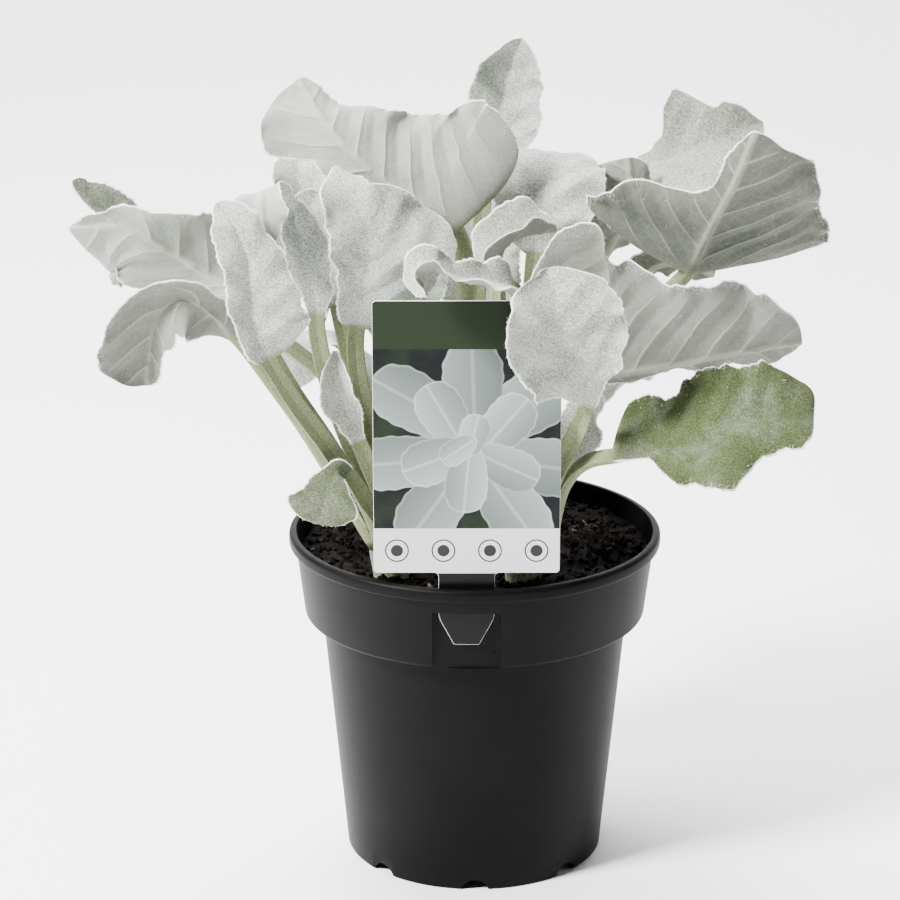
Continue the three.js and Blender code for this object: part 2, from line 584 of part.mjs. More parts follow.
function makeSoil() {
  const profile = [
    [0, POT_FLOOR + POT_WALL + GAP],
    [POT_BASE_RADIUS - POT_WALL - 1.5 - GAP, POT_FLOOR + POT_WALL + GAP],
    [BODY_TOP_RADIUS - POT_WALL - GAP, COLLAR_BOTTOM + 1 + GAP],
    [COLLAR_BOTTOM_RADIUS - POT_WALL - 1.5 - GAP, COLLAR_BOTTOM + 2 + GAP],
    [COLLAR_TOP_RADIUS - POT_WALL - 1.2, SOIL_LEVEL - 3],
    [76, SOIL_LEVEL - 1],
    [60, SOIL_LEVEL],
    [42, SOIL_LEVEL + 1],
    [22, SOIL_LEVEL + 1.5],
    [0, SOIL_LEVEL + 2],
  ];
  const mound = lathe(profile, POT_SIDES);
  const place = mound.attributes.position;
  for (let i = 0; i < place.count; i++) {
    const [x, y, z] = [place.getX(i), place.getY(i), place.getZ(i)];
    if (z < SOIL_LEVEL - 2 || Math.hypot(x, y) < 1) continue;
    place.setZ(i, z + 1.2 * Math.sin(x / 9 + 1) * Math.cos(y / 11) + 0.8 * Math.sin((x + y) / 5));
  }
  let soil = toSolid(mound).subtract(housing(GAP));
  for (const stem of Object.values(STEMS)) soil = soil.subtract(stemSolid(stem, GAP));
  addPart("soil", toGeometry(soil), "soil");
}

function makeTag() {
  const half = TAG_WIDTH / 2;
  const neck = TAIL_WIDTH / 2;
  const corner = 2;
  const shape = new THREE.Shape();
  shape.moveTo(-half + corner, TAG_TOP);
  shape.lineTo(half - corner, TAG_TOP);
  shape.quadraticCurveTo(half, TAG_TOP, half, TAG_TOP - corner);
  shape.lineTo(half, TAG_BOTTOM + corner);
  shape.quadraticCurveTo(half, TAG_BOTTOM, half - corner, TAG_BOTTOM);
  shape.lineTo(neck + 3, TAG_BOTTOM);
  shape.quadraticCurveTo(neck, TAG_BOTTOM, neck, TAG_BOTTOM - 4);
  shape.lineTo(neck, TAIL_TIP + 18);
  shape.quadraticCurveTo(neck - 2, TAIL_TIP + 4, neck * 0.45, TAIL_TIP);
  shape.lineTo(-neck * 0.45, TAIL_TIP);
  shape.quadraticCurveTo(-neck + 2, TAIL_TIP + 4, -neck, TAIL_TIP + 18);
  shape.lineTo(-neck, TAG_BOTTOM - 4);
  shape.quadraticCurveTo(-neck, TAG_BOTTOM, -neck - 3, TAG_BOTTOM);
  shape.lineTo(-half + corner, TAG_BOTTOM);
  shape.quadraticCurveTo(-half, TAG_BOTTOM, -half, TAG_BOTTOM + corner);
  shape.lineTo(-half, TAG_TOP - corner);
  shape.quadraticCurveTo(-half, TAG_TOP, -half + corner, TAG_TOP);
  const options = { depth: TAG_THICKNESS, bevelEnabled: false, curveSegments: 4 };
  const card = new THREE.ExtrudeGeometry(shape, options);
  card.rotateX(Math.PI / 2).translate(TAG_CENTRE_X, TAG_Y + TAG_THICKNESS / 2, 0);
  addPart("care_tag", card, "tag");
}

makePot();
makeSoil();
makeLeavesAndStems();
makeTag();

export default plant;
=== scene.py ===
"""Looks for a silver-leaved Senecio candicans in its black nursery pot.

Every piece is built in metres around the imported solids, in the order in which the plant is put together:
pot, soil, stems, leaves and the care tag.
"""

import math

import bmesh
import bpy
import numpy as np
from mathutils import Matrix, Vector, noise


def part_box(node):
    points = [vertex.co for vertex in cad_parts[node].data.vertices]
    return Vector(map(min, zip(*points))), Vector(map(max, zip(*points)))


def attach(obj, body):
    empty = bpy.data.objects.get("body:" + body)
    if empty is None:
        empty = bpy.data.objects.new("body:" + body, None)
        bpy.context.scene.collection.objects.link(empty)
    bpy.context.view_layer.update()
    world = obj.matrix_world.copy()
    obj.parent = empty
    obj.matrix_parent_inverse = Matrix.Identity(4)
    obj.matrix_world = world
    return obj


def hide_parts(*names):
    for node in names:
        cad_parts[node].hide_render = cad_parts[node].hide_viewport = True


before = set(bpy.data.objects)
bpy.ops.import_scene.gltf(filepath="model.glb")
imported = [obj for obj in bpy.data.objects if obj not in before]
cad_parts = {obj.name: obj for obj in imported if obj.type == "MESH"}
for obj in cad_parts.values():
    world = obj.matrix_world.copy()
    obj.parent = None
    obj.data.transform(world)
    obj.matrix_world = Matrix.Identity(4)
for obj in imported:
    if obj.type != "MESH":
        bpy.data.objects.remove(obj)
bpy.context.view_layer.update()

# The plant stands on a pale sweep in soft studio light. The camera looks 18 degrees down at the front of
# the pot, from the distance and with the lens that the scale behind the real plant gives.
CAMERA_PLACE = (-0.0125, -1.4742, 0.6927)
CAMERA_DOWN_DEG = 18.07
CAMERA_LENS_MM = 123.4
SWEEP_HALF_WIDTH = 6.0
SWEEP_FRONT = -8.0
SWEEP_BACK = 2.2
SWEEP_RADIUS = 1.2
SWEEP_HEIGHT = 4.0
SWEEP_WHITE = (0.93, 0.93, 0.93, 1)
STUDIO_FILL = 0.03

camera = bpy.data.objects.new("camera", bpy.data.cameras.new("camera"))
camera.location = CAMERA_PLACE
camera.rotation_euler = (math.radians(90 - CAMERA_DOWN_DEG), 0, 0)
camera.data.lens = CAMERA_LENS_MM
camera.data.sensor_width = 36
bpy.context.scene.collection.objects.link(camera)
bpy.context.scene.camera = camera


def new_object(name, vertices, faces, smooth=True):
    mesh = bpy.data.meshes.new(name)
    mesh.from_pydata([tuple(v) for v in vertices], [], faces)
    mesh.update()
    mesh.polygons.foreach_set("use_smooth", [smooth] * len(mesh.polygons))
    piece = bpy.data.objects.new(name, mesh)
    bpy.context.scene.collection.objects.link(piece)
    return piece


def new_material(name):
    material = bpy.data.materials.new(name)
    material.use_nodes = True
    tree = material.node_tree
    return material, tree, tree.nodes["Principled BSDF"]


sweep_profile = [(SWEEP_FRONT, 0.0)]
for step in range(13):
    turn = math.radians(90 * step / 12)
    sweep_y = SWEEP_BACK + SWEEP_RADIUS * math.sin(turn)
    sweep_profile.append((sweep_y, SWEEP_RADIUS * (1 - math.cos(turn))))
sweep_profile.append((SWEEP_BACK + SWEEP_RADIUS, SWEEP_HEIGHT))
sweep = new_object(
    "sweep",
    [(x, y, z) for y, z in sweep_profile for x in (-SWEEP_HALF_WIDTH, SWEEP_HALF_WIDTH)],
    [(2 * k, 2 * k + 1, 2 * k + 3, 2 * k + 2) for k in range(len(sweep_profile) - 1)],
)
sweep_look, tree, shader = new_material("sweep_paper")
shader.inputs["Base Color"].default_value = SWEEP_WHITE
shader.inputs["Roughness"].default_value = 0.9
sweep.data.materials.append(sweep_look)


def soft_box(name, place, target, size, watts):
    light = bpy.data.lights.new(name, "AREA")
    light.shape = "RECTANGLE"
    light.size, light.size_y = size
    light.energy = watts
    lamp = bpy.data.objects.new(name, light)
    lamp.location = place
    lamp.rotation_euler = (Vector(target) - Vector(place)).to_track_quat("-Z", "Y").to_euler()
    bpy.context.scene.collection.objects.link(lamp)


soft_box("left_soft_box", (-1.3, -0.9, 1.6), (0, 0, 0.25), (0.45, 0.5), 200)
soft_box("right_soft_box", (1.8, -0.2, 1.0), (0, 0, 0.25), (0.6, 0.8), 6)
soft_box("top_soft_box", (-0.4, 0.5, 1.9), (0, 0, 0.2), (0.9, 0.8), 85)
soft_box("backdrop_light", (0.0, 1.8, 2.8), (0, 2.8, 0.4), (3.0, 1.4), 220)
world = bpy.data.worlds.new("studio")
world.use_nodes = True
world.node_tree.nodes["Background"].inputs["Color"].default_value = (1, 1, 1, 1)
world.node_tree.nodes["Background"].inputs["Strength"].default_value = STUDIO_FILL
bpy.context.scene.world = world

# The nursery pot is one shell of black polypropylene, blown thin: a tapered body, a wider collar under a
# beaded lip, arched drain notches round the foot, and a recess in the collar for the tag's tail.
POT_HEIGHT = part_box("nursery_pot")[1][2]
LIP_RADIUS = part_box("nursery_pot")[1][0]
POT_BASE_RADIUS = 0.0655
BODY_TOP_RADIUS = 0.0775
COLLAR_BOTTOM = 0.128
COLLAR_BOTTOM_RADIUS = 0.0862
COLLAR_TOP = 0.164
COLLAR_TOP_RADIUS = 0.0907
POT_WALL = 0.0016
POT_FLOOR = 0.005
FOOT_RING_WIDTH = 0.004
BASE_PAD_RADIUS = 0.018
POT_SIDES = 192
CORNER_STEPS = 5
TAG_CENTRE_X = -0.0045
TAG_Y = -0.086
RECESS_HALF_WIDTH = 0.0165
RECESS_BACK_Y = -0.083
RECESS_BOTTOM = 0.1275
BRIDGE_BOTTOM = 0.158
HOUSING_TOP = 0.168
SLOT_HALF_WIDTH = 0.0138
SLOT_HALF_DEPTH = 0.0007
DRAIN_COUNT = 8
NOTCH_RADIUS = 0.007
DRAIN_HOLE_RADIUS = 0.006
DRAIN_HOLE_CIRCLE = 0.0435
NOTCHES_END = 0.012
BLACK_PLASTIC = ((0.0018, 0.0018, 0.0020, 1), (0.0030, 0.0029, 0.0028, 1))


# Corners are (radius, height, rounding), and each is replaced by an arc that meets both of its sides.
def rounded_profile(corners):
    points = []
    for k, (radius, height, rounding) in enumerate(corners):
        here = Vector((radius, height))
        if rounding == 0 or k in (0, len(corners) - 1):
            points.append(tuple(here))
            continue
        before = (Vector(corners[k - 1][:2]) - here).normalized()
        after = (Vector(corners[k + 1][:2]) - here).normalized()
        half = before.angle(after) / 2
        middle = here + (before + after).normalized() * rounding / math.sin(half)
        start = here + before * rounding / math.tan(half) - middle
        sweep_angle = math.pi - 2 * half
        side = 1 if before.x * after.y - before.y * after.x < 0 else -1
        for step in range(CORNER_STEPS + 1):
            turn = side * sweep_angle * step / CORNER_STEPS
            arm = Vector(
                (
                    start.x * math.cos(turn) - start.y * math.sin(turn),
                    start.x * math.sin(turn) + start.y * math.cos(turn),
                )
            )
            points.append(tuple(middle + arm))
    return points


# A profile of (radius, height) points is turned round the pot's axis, and closed where it meets the axis.
def turned(name, profile, sides):
    vertices = []
    faces = []
    rings = []
    for radius, height in profile:
        if radius < 1e-6:
            rings.append([len(vertices)] * sides)
            vertices.append((0, 0, height))
            continue
        rings.append(list(range(len(vertices), len(vertices) + sides)))
        for k in range(sides):
            turn = 2 * math.pi * k / sides
            vertices.append((radius * math.cos(turn), radius * math.sin(turn), height))
    for low, high in zip(rings, rings[1:]):
        for k in range(sides):
            loop = [low[k], low[(k + 1) % sides], high[(k + 1) % sides], high[k]]
            face = list(dict.fromkeys(loop))
            if len(face) > 2:
                faces.append(face)
    return new_object(name, vertices, faces)


def box_cutter(x_range, y_range, z_range):
    corners = [(x, y, z) for z in z_range for y in y_range for x in x_range]
    faces = [(0, 2, 3, 1), (4, 5, 7, 6), (0, 1, 5, 4), (2, 6, 7, 3), (0, 4, 6, 2), (1, 3, 7, 5)]
    return new_object("cutter", corners, faces, smooth=False)


def round_cutter(start, end, radius, sides=32):
    length = (end - start).length
    cutter = turned("cutter", [(0, 0), (radius, 0), (radius, length), (0, length)], sides)
    cutter.data.transform((end - start).to_track_quat("Z", "Y").to_matrix().to_4x4())
    cutter.data.transform(Matrix.Translation(start))
    return cutter


def apply_modifiers(piece):
    depsgraph = bpy.context.evaluated_depsgraph_get()
    finished = bpy.data.meshes.new_from_object(piece.evaluated_get(depsgraph))
    piece.modifiers.clear()
    piece.data = finished


def combine(piece, others, operation):
    for other in others:
        step = piece.modifiers.new(operation, "BOOLEAN")
        step.operation = operation
        step.object = other
        step.solver = "EXACT"
        apply_modifiers(piece)
        bpy.data.objects.remove(other)


above_notches = NOTCHES_END / COLLAR_BOTTOM
outside = [
    (POT_BASE_RADIUS, 0, 0.0012),
    (POT_BASE_RADIUS + (BODY_TOP_RADIUS - POT_BASE_RADIUS) * above_notches, NOTCHES_END, 0),
    (BODY_TOP_RADIUS - 0.0004, COLLAR_BOTTOM - 0.006, 0),
    (BODY_TOP_RADIUS, COLLAR_BOTTOM - 0.001, 0.001),
    (COLLAR_BOTTOM_RADIUS, COLLAR_BOTTOM - 0.0004, 0.0026),
    (COLLAR_TOP_RADIUS, COLLAR_TOP, 0.0006),
    (LIP_RADIUS, COLLAR_TOP + 0.0006, 0.0016),
    (LIP_RADIUS, POT_HEIGHT, 0.0022),
]
inside = [
    (LIP_RADIUS - 0.0038, POT_HEIGHT, 0.0006),
    (COLLAR_TOP_RADIUS - POT_WALL, COLLAR_TOP - 0.001, 0.001),
    (COLLAR_BOTTOM_RADIUS - POT_WALL - 0.0015, COLLAR_BOTTOM + 0.002, 0.001),
    (BODY_TOP_RADIUS - POT_WALL, COLLAR_BOTTOM + 0.001, 0.001),
    (POT_BASE_RADIUS - POT_WALL, POT_FLOOR + POT_WALL, 0.002),
    (0, POT_FLOOR + POT_WALL, 0),
]
underside = [
    (0, 0, 0),
    (BASE_PAD_RADIUS, 0, 0.001),
    (BASE_PAD_RADIUS, POT_FLOOR, 0.001),
    (POT_BASE_RADIUS - FOOT_RING_WIDTH, POT_FLOOR, 0.001),
    (POT_BASE_RADIUS - FOOT_RING_WIDTH, 0, 0.001),
]
pot = turned("pot_shell", rounded_profile(underside + outside + inside), POT_SIDES)
block = turned("block", rounded_profile([(0, 0, 0)] + outside + [(0, POT_HEIGHT, 0)]), POT_SIDES)
housing_half = RECESS_HALF_WIDTH + POT_WALL
housing = box_cutter(
    (TAG_CENTRE_X - housing_half, TAG_CENTRE_X + housing_half),
    (-LIP_RADIUS - 0.01, RECESS_BACK_Y + POT_WALL),
    (COLLAR_BOTTOM - 0.006, HOUSING_TOP),
)
combine(block, [housing], "INTERSECT")
combine(pot, [block], "UNION")
recess = box_cutter(
    (TAG_CENTRE_X - RECESS_HALF_WIDTH, TAG_CENTRE_X + RECESS_HALF_WIDTH),
    (-LIP_RADIUS - 0.01, RECESS_BACK_Y),
    (RECESS_BOTTOM, BRIDGE_BOTTOM),
)
slot = box_cutter(
    (TAG_CENTRE_X - SLOT_HALF_WIDTH, TAG_CENTRE_X + SLOT_HALF_WIDTH),
    (TAG_Y - SLOT_HALF_DEPTH, TAG_Y + SLOT_HALF_DEPTH),
    (BRIDGE_BOTTOM - 0.001, POT_HEIGHT + 0.001),
)
drains = []
for k in range(DRAIN_COUNT):
    turn = 2 * math.pi * k / DRAIN_COUNT - math.pi / 2
    way = Vector((math.cos(turn), math.sin(turn), 0))
    notch_start = way * (POT_BASE_RADIUS - 1.5 * FOOT_RING_WIDTH) - Vector((0, 0, 0.0015))
    drains.append(round_cutter(notch_start, notch_start + way * 3 * FOOT_RING_WIDTH, NOTCH_RADIUS))
    hole = way * DRAIN_HOLE_CIRCLE
    hole_end = hole + Vector((0, 0, 2 * POT_FLOOR))
    drains.append(round_cutter(hole - Vector((0, 0, 0.002)), hole_end, DRAIN_HOLE_RADIUS))
combine(pot, [recess, slot] + drains, "DIFFERENCE")
edges = pot.modifiers.new("soft_edges", "BEVEL")
edges.width = 0.0004
edges.segments = 2
edges.limit_method = "ANGLE"
edges.angle_limit = math.radians(40)
apply_modifiers(pot)
pot.data.set_sharp_from_angle(angle=math.radians(38))


def add_node(tree, kind, sockets=None, **settings):
    node = tree.nodes.new(kind)
    for key, value in settings.items():
        setattr(node, key, value)
    for key, value in (sockets or {}).items():
        if isinstance(value, bpy.types.NodeSocket):
            tree.links.new(value, node.inputs[key])
        else:
            node.inputs[key].default_value = value
    return node


def maths(tree, operation, first, second=0.0, third=0.0):
    sockets = {0: first, 1: second, 2: third}
    return add_node(tree, "ShaderNodeMath", sockets, operation=operation).outputs[0]


def blend_colour(tree, factor, first, second):
    node = add_node(tree, "ShaderNodeMix", {"Factor": factor, 6: first, 7: second}, data_type="RGBA")
    return node.outputs[2]


def soft_step(tree, value, low, high):
    sockets = {"Value": value, "From Min": low, "From Max": high}
    node = add_node(tree, "ShaderNodeMapRange", sockets, interpolation_type="SMOOTHSTEP")
    return node.outputs["Result"]


# Inputs are given as (kind of socket, first value), and outputs as the kind alone.
def new_group(name, kind, inputs, outputs):
    group = bpy.data.node_groups.new(name, kind)
    for title, (form, start) in inputs.items():
        socket = group.interface.new_socket(title, in_out="INPUT", socket_type="NodeSocket" + form)
        if start is not None:
            socket.default_value = start
    for title, form in outputs.items():
        group.interface.new_socket(title, in_out="OUTPUT", socket_type="NodeSocket" + form)
    given = group.nodes.new("NodeGroupInput").outputs
    result = group.nodes.new("NodeGroupOutput").inputs
    return group, given, result


# Fine moulding grain and a little dust, used on every moulded or printed plastic here.
def plastic_wear_group():
    inputs = {"Grain Size": ("Float", 900.0)}
    outputs = {"Grain": "Float", "Dust": "Float"}
    group, given, result = new_group("plastic_wear", "ShaderNodeTree", inputs, outputs)
    place = add_node(group, "ShaderNodeTexCoord").outputs["Object"]
    grain_sockets = {"Vector": place, "Scale": given["Grain Size"], "Detail": 3.0}
    grain = add_node(group, "ShaderNodeTexNoise", grain_sockets)
    patches = add_node(group, "ShaderNodeTexNoise", {"Vector": place, "Scale": 22.0, "Detail": 5.0})
    group.links.new(grain.outputs[0], result["Grain"])
    group.links.new(soft_step(group, patches.outputs[0], 0.35, 0.75), result["Dust"])
    return group


plastic_wear = plastic_wear_group()
pot_look, tree, shader = new_material("black_polypropylene")
wear = add_node(tree, "ShaderNodeGroup", node_tree=plastic_wear)
wear.inputs["Grain Size"].default_value = 1400.0
dusty = blend_colour(tree, wear.outputs["Dust"], *BLACK_PLASTIC)
tree.links.new(dusty, shader.inputs["Base Color"])
matt = maths(tree, "MULTIPLY_ADD", wear.outputs["Grain"], 0.12, 0.42)
tree.links.new(matt, shader.inputs["Roughness"])
shader.inputs["Specular IOR Level"].default_value = 0.06
relief = {"Height": wear.outputs["Grain"], "Strength": 0.12, "Distance": 0.0002}
grain = add_node(tree, "ShaderNodeBump", relief)
tree.links.new(grain.outputs[0], shader.inputs["Normal"])
pot.data.materials.clear()
pot.data.materials.append(pot_look)
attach(pot, "root")
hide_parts("nursery_pot")

# The pot is filled with moist peat compost, slightly mounded, to a centimetre below the rim. Clods, bark,
# fibres and a few pale chips lie loose on it.
SOIL_LEVEL = 0.161
SOIL_RINGS = 60
SOIL_SIDES = 180
SOIL_GAP = 0.0003
HEAP = 0.002
SOIL_LUMPS = ((45, 0.0030), (120, 0.0018), (330, 0.0008))
SMALLEST_BIT = 0.35
BIGGEST_BIT = 1.35
PEAT = ((0.0008, 0.0006, 0.0005, 1), (0.0045, 0.0030, 0.0022, 1))
PEAT_BITS = (0.016, 0.011, 0.008, 1)
BARK_BROWN = ((0.002, 0.0013, 0.0010, 1), (0.014, 0.0085, 0.0052, 1))
CHIP_TAN = ((0.02, 0.016, 0.012, 1), (0.10, 0.083, 0.062, 1))


def soil_height(x, y):
    spread = math.hypot(x, y) / COLLAR_TOP_RADIUS
    place = Vector((x, y, 0))
    rough = sum(rise * noise.noise(place * scale) for scale, rise in SOIL_LUMPS)
    return SOIL_LEVEL + HEAP * (1 - spread**2) + rough - 0.001


soil_edge = COLLAR_TOP_RADIUS - POT_WALL - 0.0010
soil_rows = [(soil_edge * ring / SOIL_RINGS, None) for ring in range(SOIL_RINGS + 1)]
soil_rows += [
    (COLLAR_BOTTOM_RADIUS - POT_WALL - 0.0018, COLLAR_BOTTOM + 0.003),
    (BODY_TOP_RADIUS - POT_WALL - SOIL_GAP, COLLAR_BOTTOM + 0.001),
    (POT_BASE_RADIUS - POT_WALL - 0.002, POT_FLOOR + POT_WALL + SOIL_GAP),
    (0, POT_FLOOR + POT_WALL + SOIL_GAP),
]
soil = turned("compost", [(r, z or 0) for r, z in reversed(soil_rows)], SOIL_SIDES)
for vertex in soil.data.vertices:
    x, y, z = vertex.co
    if z == 0:
        vertex.co.z = soil_height(x, y)
    if abs(x - TAG_CENTRE_X) < housing_half + SOIL_GAP and z != POT_FLOOR:
        vertex.co.y = max(y, RECESS_BACK_Y + POT_WALL + SOIL_GAP)

soil_look, tree, shader = new_material("peat_compost")
place = add_node(tree, "ShaderNodeTexCoord").outputs["Object"]
coarse_sockets = {"Vector": place, "Scale": 130.0, "Detail": 8.0, "Roughness": 0.65}
coarse = add_node(tree, "ShaderNodeTexNoise", coarse_sockets)
fine = add_node(tree, "ShaderNodeTexNoise", {"Vector": place, "Scale": 620.0, "Detail": 6.0})
peat = blend_colour(tree, soft_step(tree, coarse.outputs[0], 0.35, 0.68), *PEAT)
peat = blend_colour(tree, soft_step(tree, fine.outputs[0], 0.66, 0.72), peat, PEAT_BITS)
tree.links.new(peat, shader.inputs["Base Color"])
damp = maths(tree, "MULTIPLY_ADD", coarse.outputs[0], -0.35, 1.0)
tree.links.new(damp, shader.inputs["Roughness"])
bump = add_node(tree, "ShaderNodeBump", {"Height": fine.outputs[0], "Strength": 0.7, "Distance": 0.001})
tree.links.new(bump.outputs[0], shader.inputs["Normal"])
shader.inputs["Specular IOR Level"].default_value = 0.06
soil.data.materials.clear()
soil.data.materials.append(soil_look)
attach(soil, "root")
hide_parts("soil")


# One tree scatters loose bits over a surface: clods, bark and fibres differ only in the piece that is
# handed in, how many there are, and how far each is stretched along itself.
def scatter_tree(name):
    inputs = {
        "Surface": ("Geometry", None),
        "Bit Size": ("Float", 0.002),
        "Bit Length": ("Float", 1.0),
        "Bits per Square Metre": ("Float", 20000.0),
        "Widest": ("Float", 0.08),
        "Tilt": ("Float", 0.5),
        "Seed": ("Int", 1),
        "Material": ("Material", None),
    }
    group, given, result = new_group(name, "GeometryNodeTree", inputs, {"Bits": "Geometry"})
    place = add_node(group, "GeometryNodeInputPosition").outputs[0]
    across = add_node(group, "ShaderNodeVectorMath", {0: place, 1: (1, 1, 0)}, operation="MULTIPLY")
    reach = add_node(group, "ShaderNodeVectorMath", {0: across.outputs[0]}, operation="LENGTH")
    facing = add_node(group, "GeometryNodeInputNormal").outputs[0]
    up = add_node(group, "ShaderNodeSeparateXYZ", {0: facing})
    inside = maths(group, "LESS_THAN", reach.outputs["Value"], given["Widest"])
    top = maths(group, "MULTIPLY", inside, maths(group, "GREATER_THAN", up.outputs["Z"], 0.2))
    spread = add_node(
        group,
        "GeometryNodeDistributePointsOnFaces",
        {
            "Mesh": given["Surface"],
            "Selection": top,
            "Density": given["Bits per Square Metre"],
            "Seed": given["Seed"],
        },
        distribute_method="RANDOM",
    )
    ball = add_node(group, "GeometryNodeMeshIcoSphere", {"Radius": 0.5, "Subdivisions": 2})
    lumps = add_node(group, "ShaderNodeTexNoise", {"Scale": 2.2, "Detail": 2.0}, noise_dimensions="3D")
    push_sockets = {0: lumps.outputs["Color"], 1: (0.5, 0.5, 0.5)}
    push = add_node(group, "ShaderNodeVectorMath", push_sockets, operation="SUBTRACT")
    push_sockets = {0: push.outputs[0], "Scale": 1.5}
    push = add_node(group, "ShaderNodeVectorMath", push_sockets, operation="SCALE")
    clod_sockets = {"Geometry": ball.outputs["Mesh"], "Offset": push.outputs[0]}
    clod = add_node(group, "GeometryNodeSetPosition", clod_sockets)
    seed = {"Seed": given["Seed"]}
    around = add_node(group, "FunctionNodeRandomValue", seed, data_type="FLOAT_VECTOR")
    around.inputs[0].default_value = (-1, -1, 0)
    around.inputs[1].default_value = (1, 1, 2 * math.pi)
    tipped = add_node(group, "ShaderNodeCombineXYZ", {0: given["Tilt"], 1: given["Tilt"], 2: 1.0})
    angle_sockets = {0: around.outputs[0], 1: tipped.outputs[0]}
    angles = add_node(group, "ShaderNodeVectorMath", angle_sockets, operation="MULTIPLY")
    turned_by = add_node(group, "FunctionNodeEulerToRotation", {0: angles.outputs[0]})
    sizes = add_node(group, "FunctionNodeRandomValue", seed, data_type="FLOAT")
    sizes.inputs[2].default_value = SMALLEST_BIT
    sizes.inputs[3].default_value = BIGGEST_BIT
    size = maths(group, "MULTIPLY", sizes.outputs[1], given["Bit Size"])
    long = maths(group, "MULTIPLY", size, given["Bit Length"])
    flat = maths(group, "MULTIPLY", size, 0.8)
    stretch = add_node(group, "ShaderNodeCombineXYZ", {0: long, 1: size, 2: flat})
    placed = add_node(
        group,
        "GeometryNodeInstanceOnPoints",
        {
            "Points": spread.outputs["Points"],
            "Instance": clod.outputs[0],
            "Rotation": turned_by.outputs[0],
            "Scale": stretch.outputs[0],
        },
    )
    real = add_node(group, "GeometryNodeRealizeInstances", {0: placed.outputs[0]})
    finish = {"Geometry": real.outputs[0], "Material": given["Material"]}
    coloured = add_node(group, "GeometryNodeSetMaterial", finish)
    group.links.new(coloured.outputs[0], result[0])
    return group


def grown_by(name, surface, group, values):
    piece = bpy.data.objects.new(name, surface.data.copy())
    bpy.context.scene.collection.objects.link(piece)
    growth = piece.modifiers.new(name, "NODES")
    growth.node_group = group
    for title, value in values.items():
        growth[group.interface.items_tree[title].identifier] = value
    apply_modifiers(piece)
    return piece


bark_look, tree, shader = new_material("bark_and_fibre")
place = add_node(tree, "ShaderNodeTexCoord").outputs["Object"]
tones = add_node(tree, "ShaderNodeTexNoise", {"Vector": place, "Scale": 210.0, "Detail": 3.0})
bark = blend_colour(tree, soft_step(tree, tones.outputs[0], 0.35, 0.7), *BARK_BROWN)
tree.links.new(bark, shader.inputs["Base Color"])
shader.inputs["Roughness"].default_value = 0.85
shader.inputs["Specular IOR Level"].default_value = 0.06
chip_look, tree, shader = new_material("pale_chips")
place = add_node(tree, "ShaderNodeTexCoord").outputs["Object"]
tones = add_node(tree, "ShaderNodeTexNoise", {"Vector": place, "Scale": 400.0, "Detail": 4.0})
tree.links.new(blend_colour(tree, tones.outputs[0], *CHIP_TAN), shader.inputs["Base Color"])
shader.inputs["Roughness"].default_value = 0.8

# Each kind of bit has a size, a length in sizes, a number per square metre, a tilt, a seed and a look.
LOOSE_BITS = {
    "soil_clods": (0.0034, 1.2, 42000.0, 1.5, 3, soil_look),
    "soil_bark": (0.0022, 3.2, 9000.0, 0.4, 8, bark_look),
    "soil_fibres": (0.0006, 17.0, 8000.0, 0.25, 12, bark_look),
    "soil_chips": (0.0020, 1.6, 900.0, 0.8, 21, chip_look),
}
scatter = scatter_tree("loose_compost")
for name, (size, length, number, tilt, seed, look) in LOOSE_BITS.items():
    values = {
        "Bit Size": size,
        "Bit Length": length,
        "Bits per Square Metre": number,
        "Widest": soil_edge - size * length * BIGGEST_BIT / 2,
        "Tilt": tilt,
        "Seed": seed,
        "Material": look,
    }
    bits = grown_by(name, soil, scatter, values)
    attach(bits, "root")


# Three short fleshy stems stand rooted in the compost and carry every leaf. They are pale green under
# white down, and their tops are hidden among the petioles.
STEMS = {
    "left_stem": ("stem_left", (-0.041, -0.043), 0.011, 0.208),
    "right_stem": ("stem_right", (0.024, -0.046), 0.011, 0.210),
    "back_stem": ("stem_back", (-0.005, 0.020), 0.012, 0.212),
}
STEM_ROOT_DEPTH = 0.022
STEM_SIDES = 48
STEM_GREEN = ((0.050, 0.066, 0.018, 1), (0.100, 0.120, 0.045, 1))
STEM_DOWN = (0.19, 0.21, 0.12, 1)


# Felt is a coat of fine matted hairs: a soft speckle where they lie in tufts, over a finer nap.
def felt_group():
    inputs = {"Tuft Size": ("Float", 500.0), "Nap Depth": ("Float", 1.0)}
    outputs = {"Speckle": "Float", "Patches": "Float", "Height": "Float"}
    group, given, result = new_group("felt_nap", "ShaderNodeTree", inputs, outputs)
    place = add_node(group, "ShaderNodeTexCoord").outputs["Object"]
    tuft_sockets = {"Vector": place, "Scale": given["Tuft Size"], "Detail": 6.0, "Roughness": 0.7}
    tufts = add_node(group, "ShaderNodeTexNoise", tuft_sockets)
    patches = add_node(group, "ShaderNodeTexNoise", {"Vector": place, "Scale": 48.0, "Detail": 5.0})
    nap = maths(group, "MULTIPLY", given["Tuft Size"], 3.1)
    hairs = add_node(group, "ShaderNodeTexNoise", {"Vector": place, "Scale": nap, "Detail": 4.0})
    both = maths(group, "MULTIPLY_ADD", hairs.outputs[0], 0.45, tufts.outputs[0])
    group.links.new(soft_step(group, tufts.outputs[0], 0.38, 0.64), result["Speckle"])
    group.links.new(soft_step(group, patches.outputs[0], 0.35, 0.65), result["Patches"])
    group.links.new(maths(group, "MULTIPLY", both, given["Nap Depth"]), result["Height"])
    return group


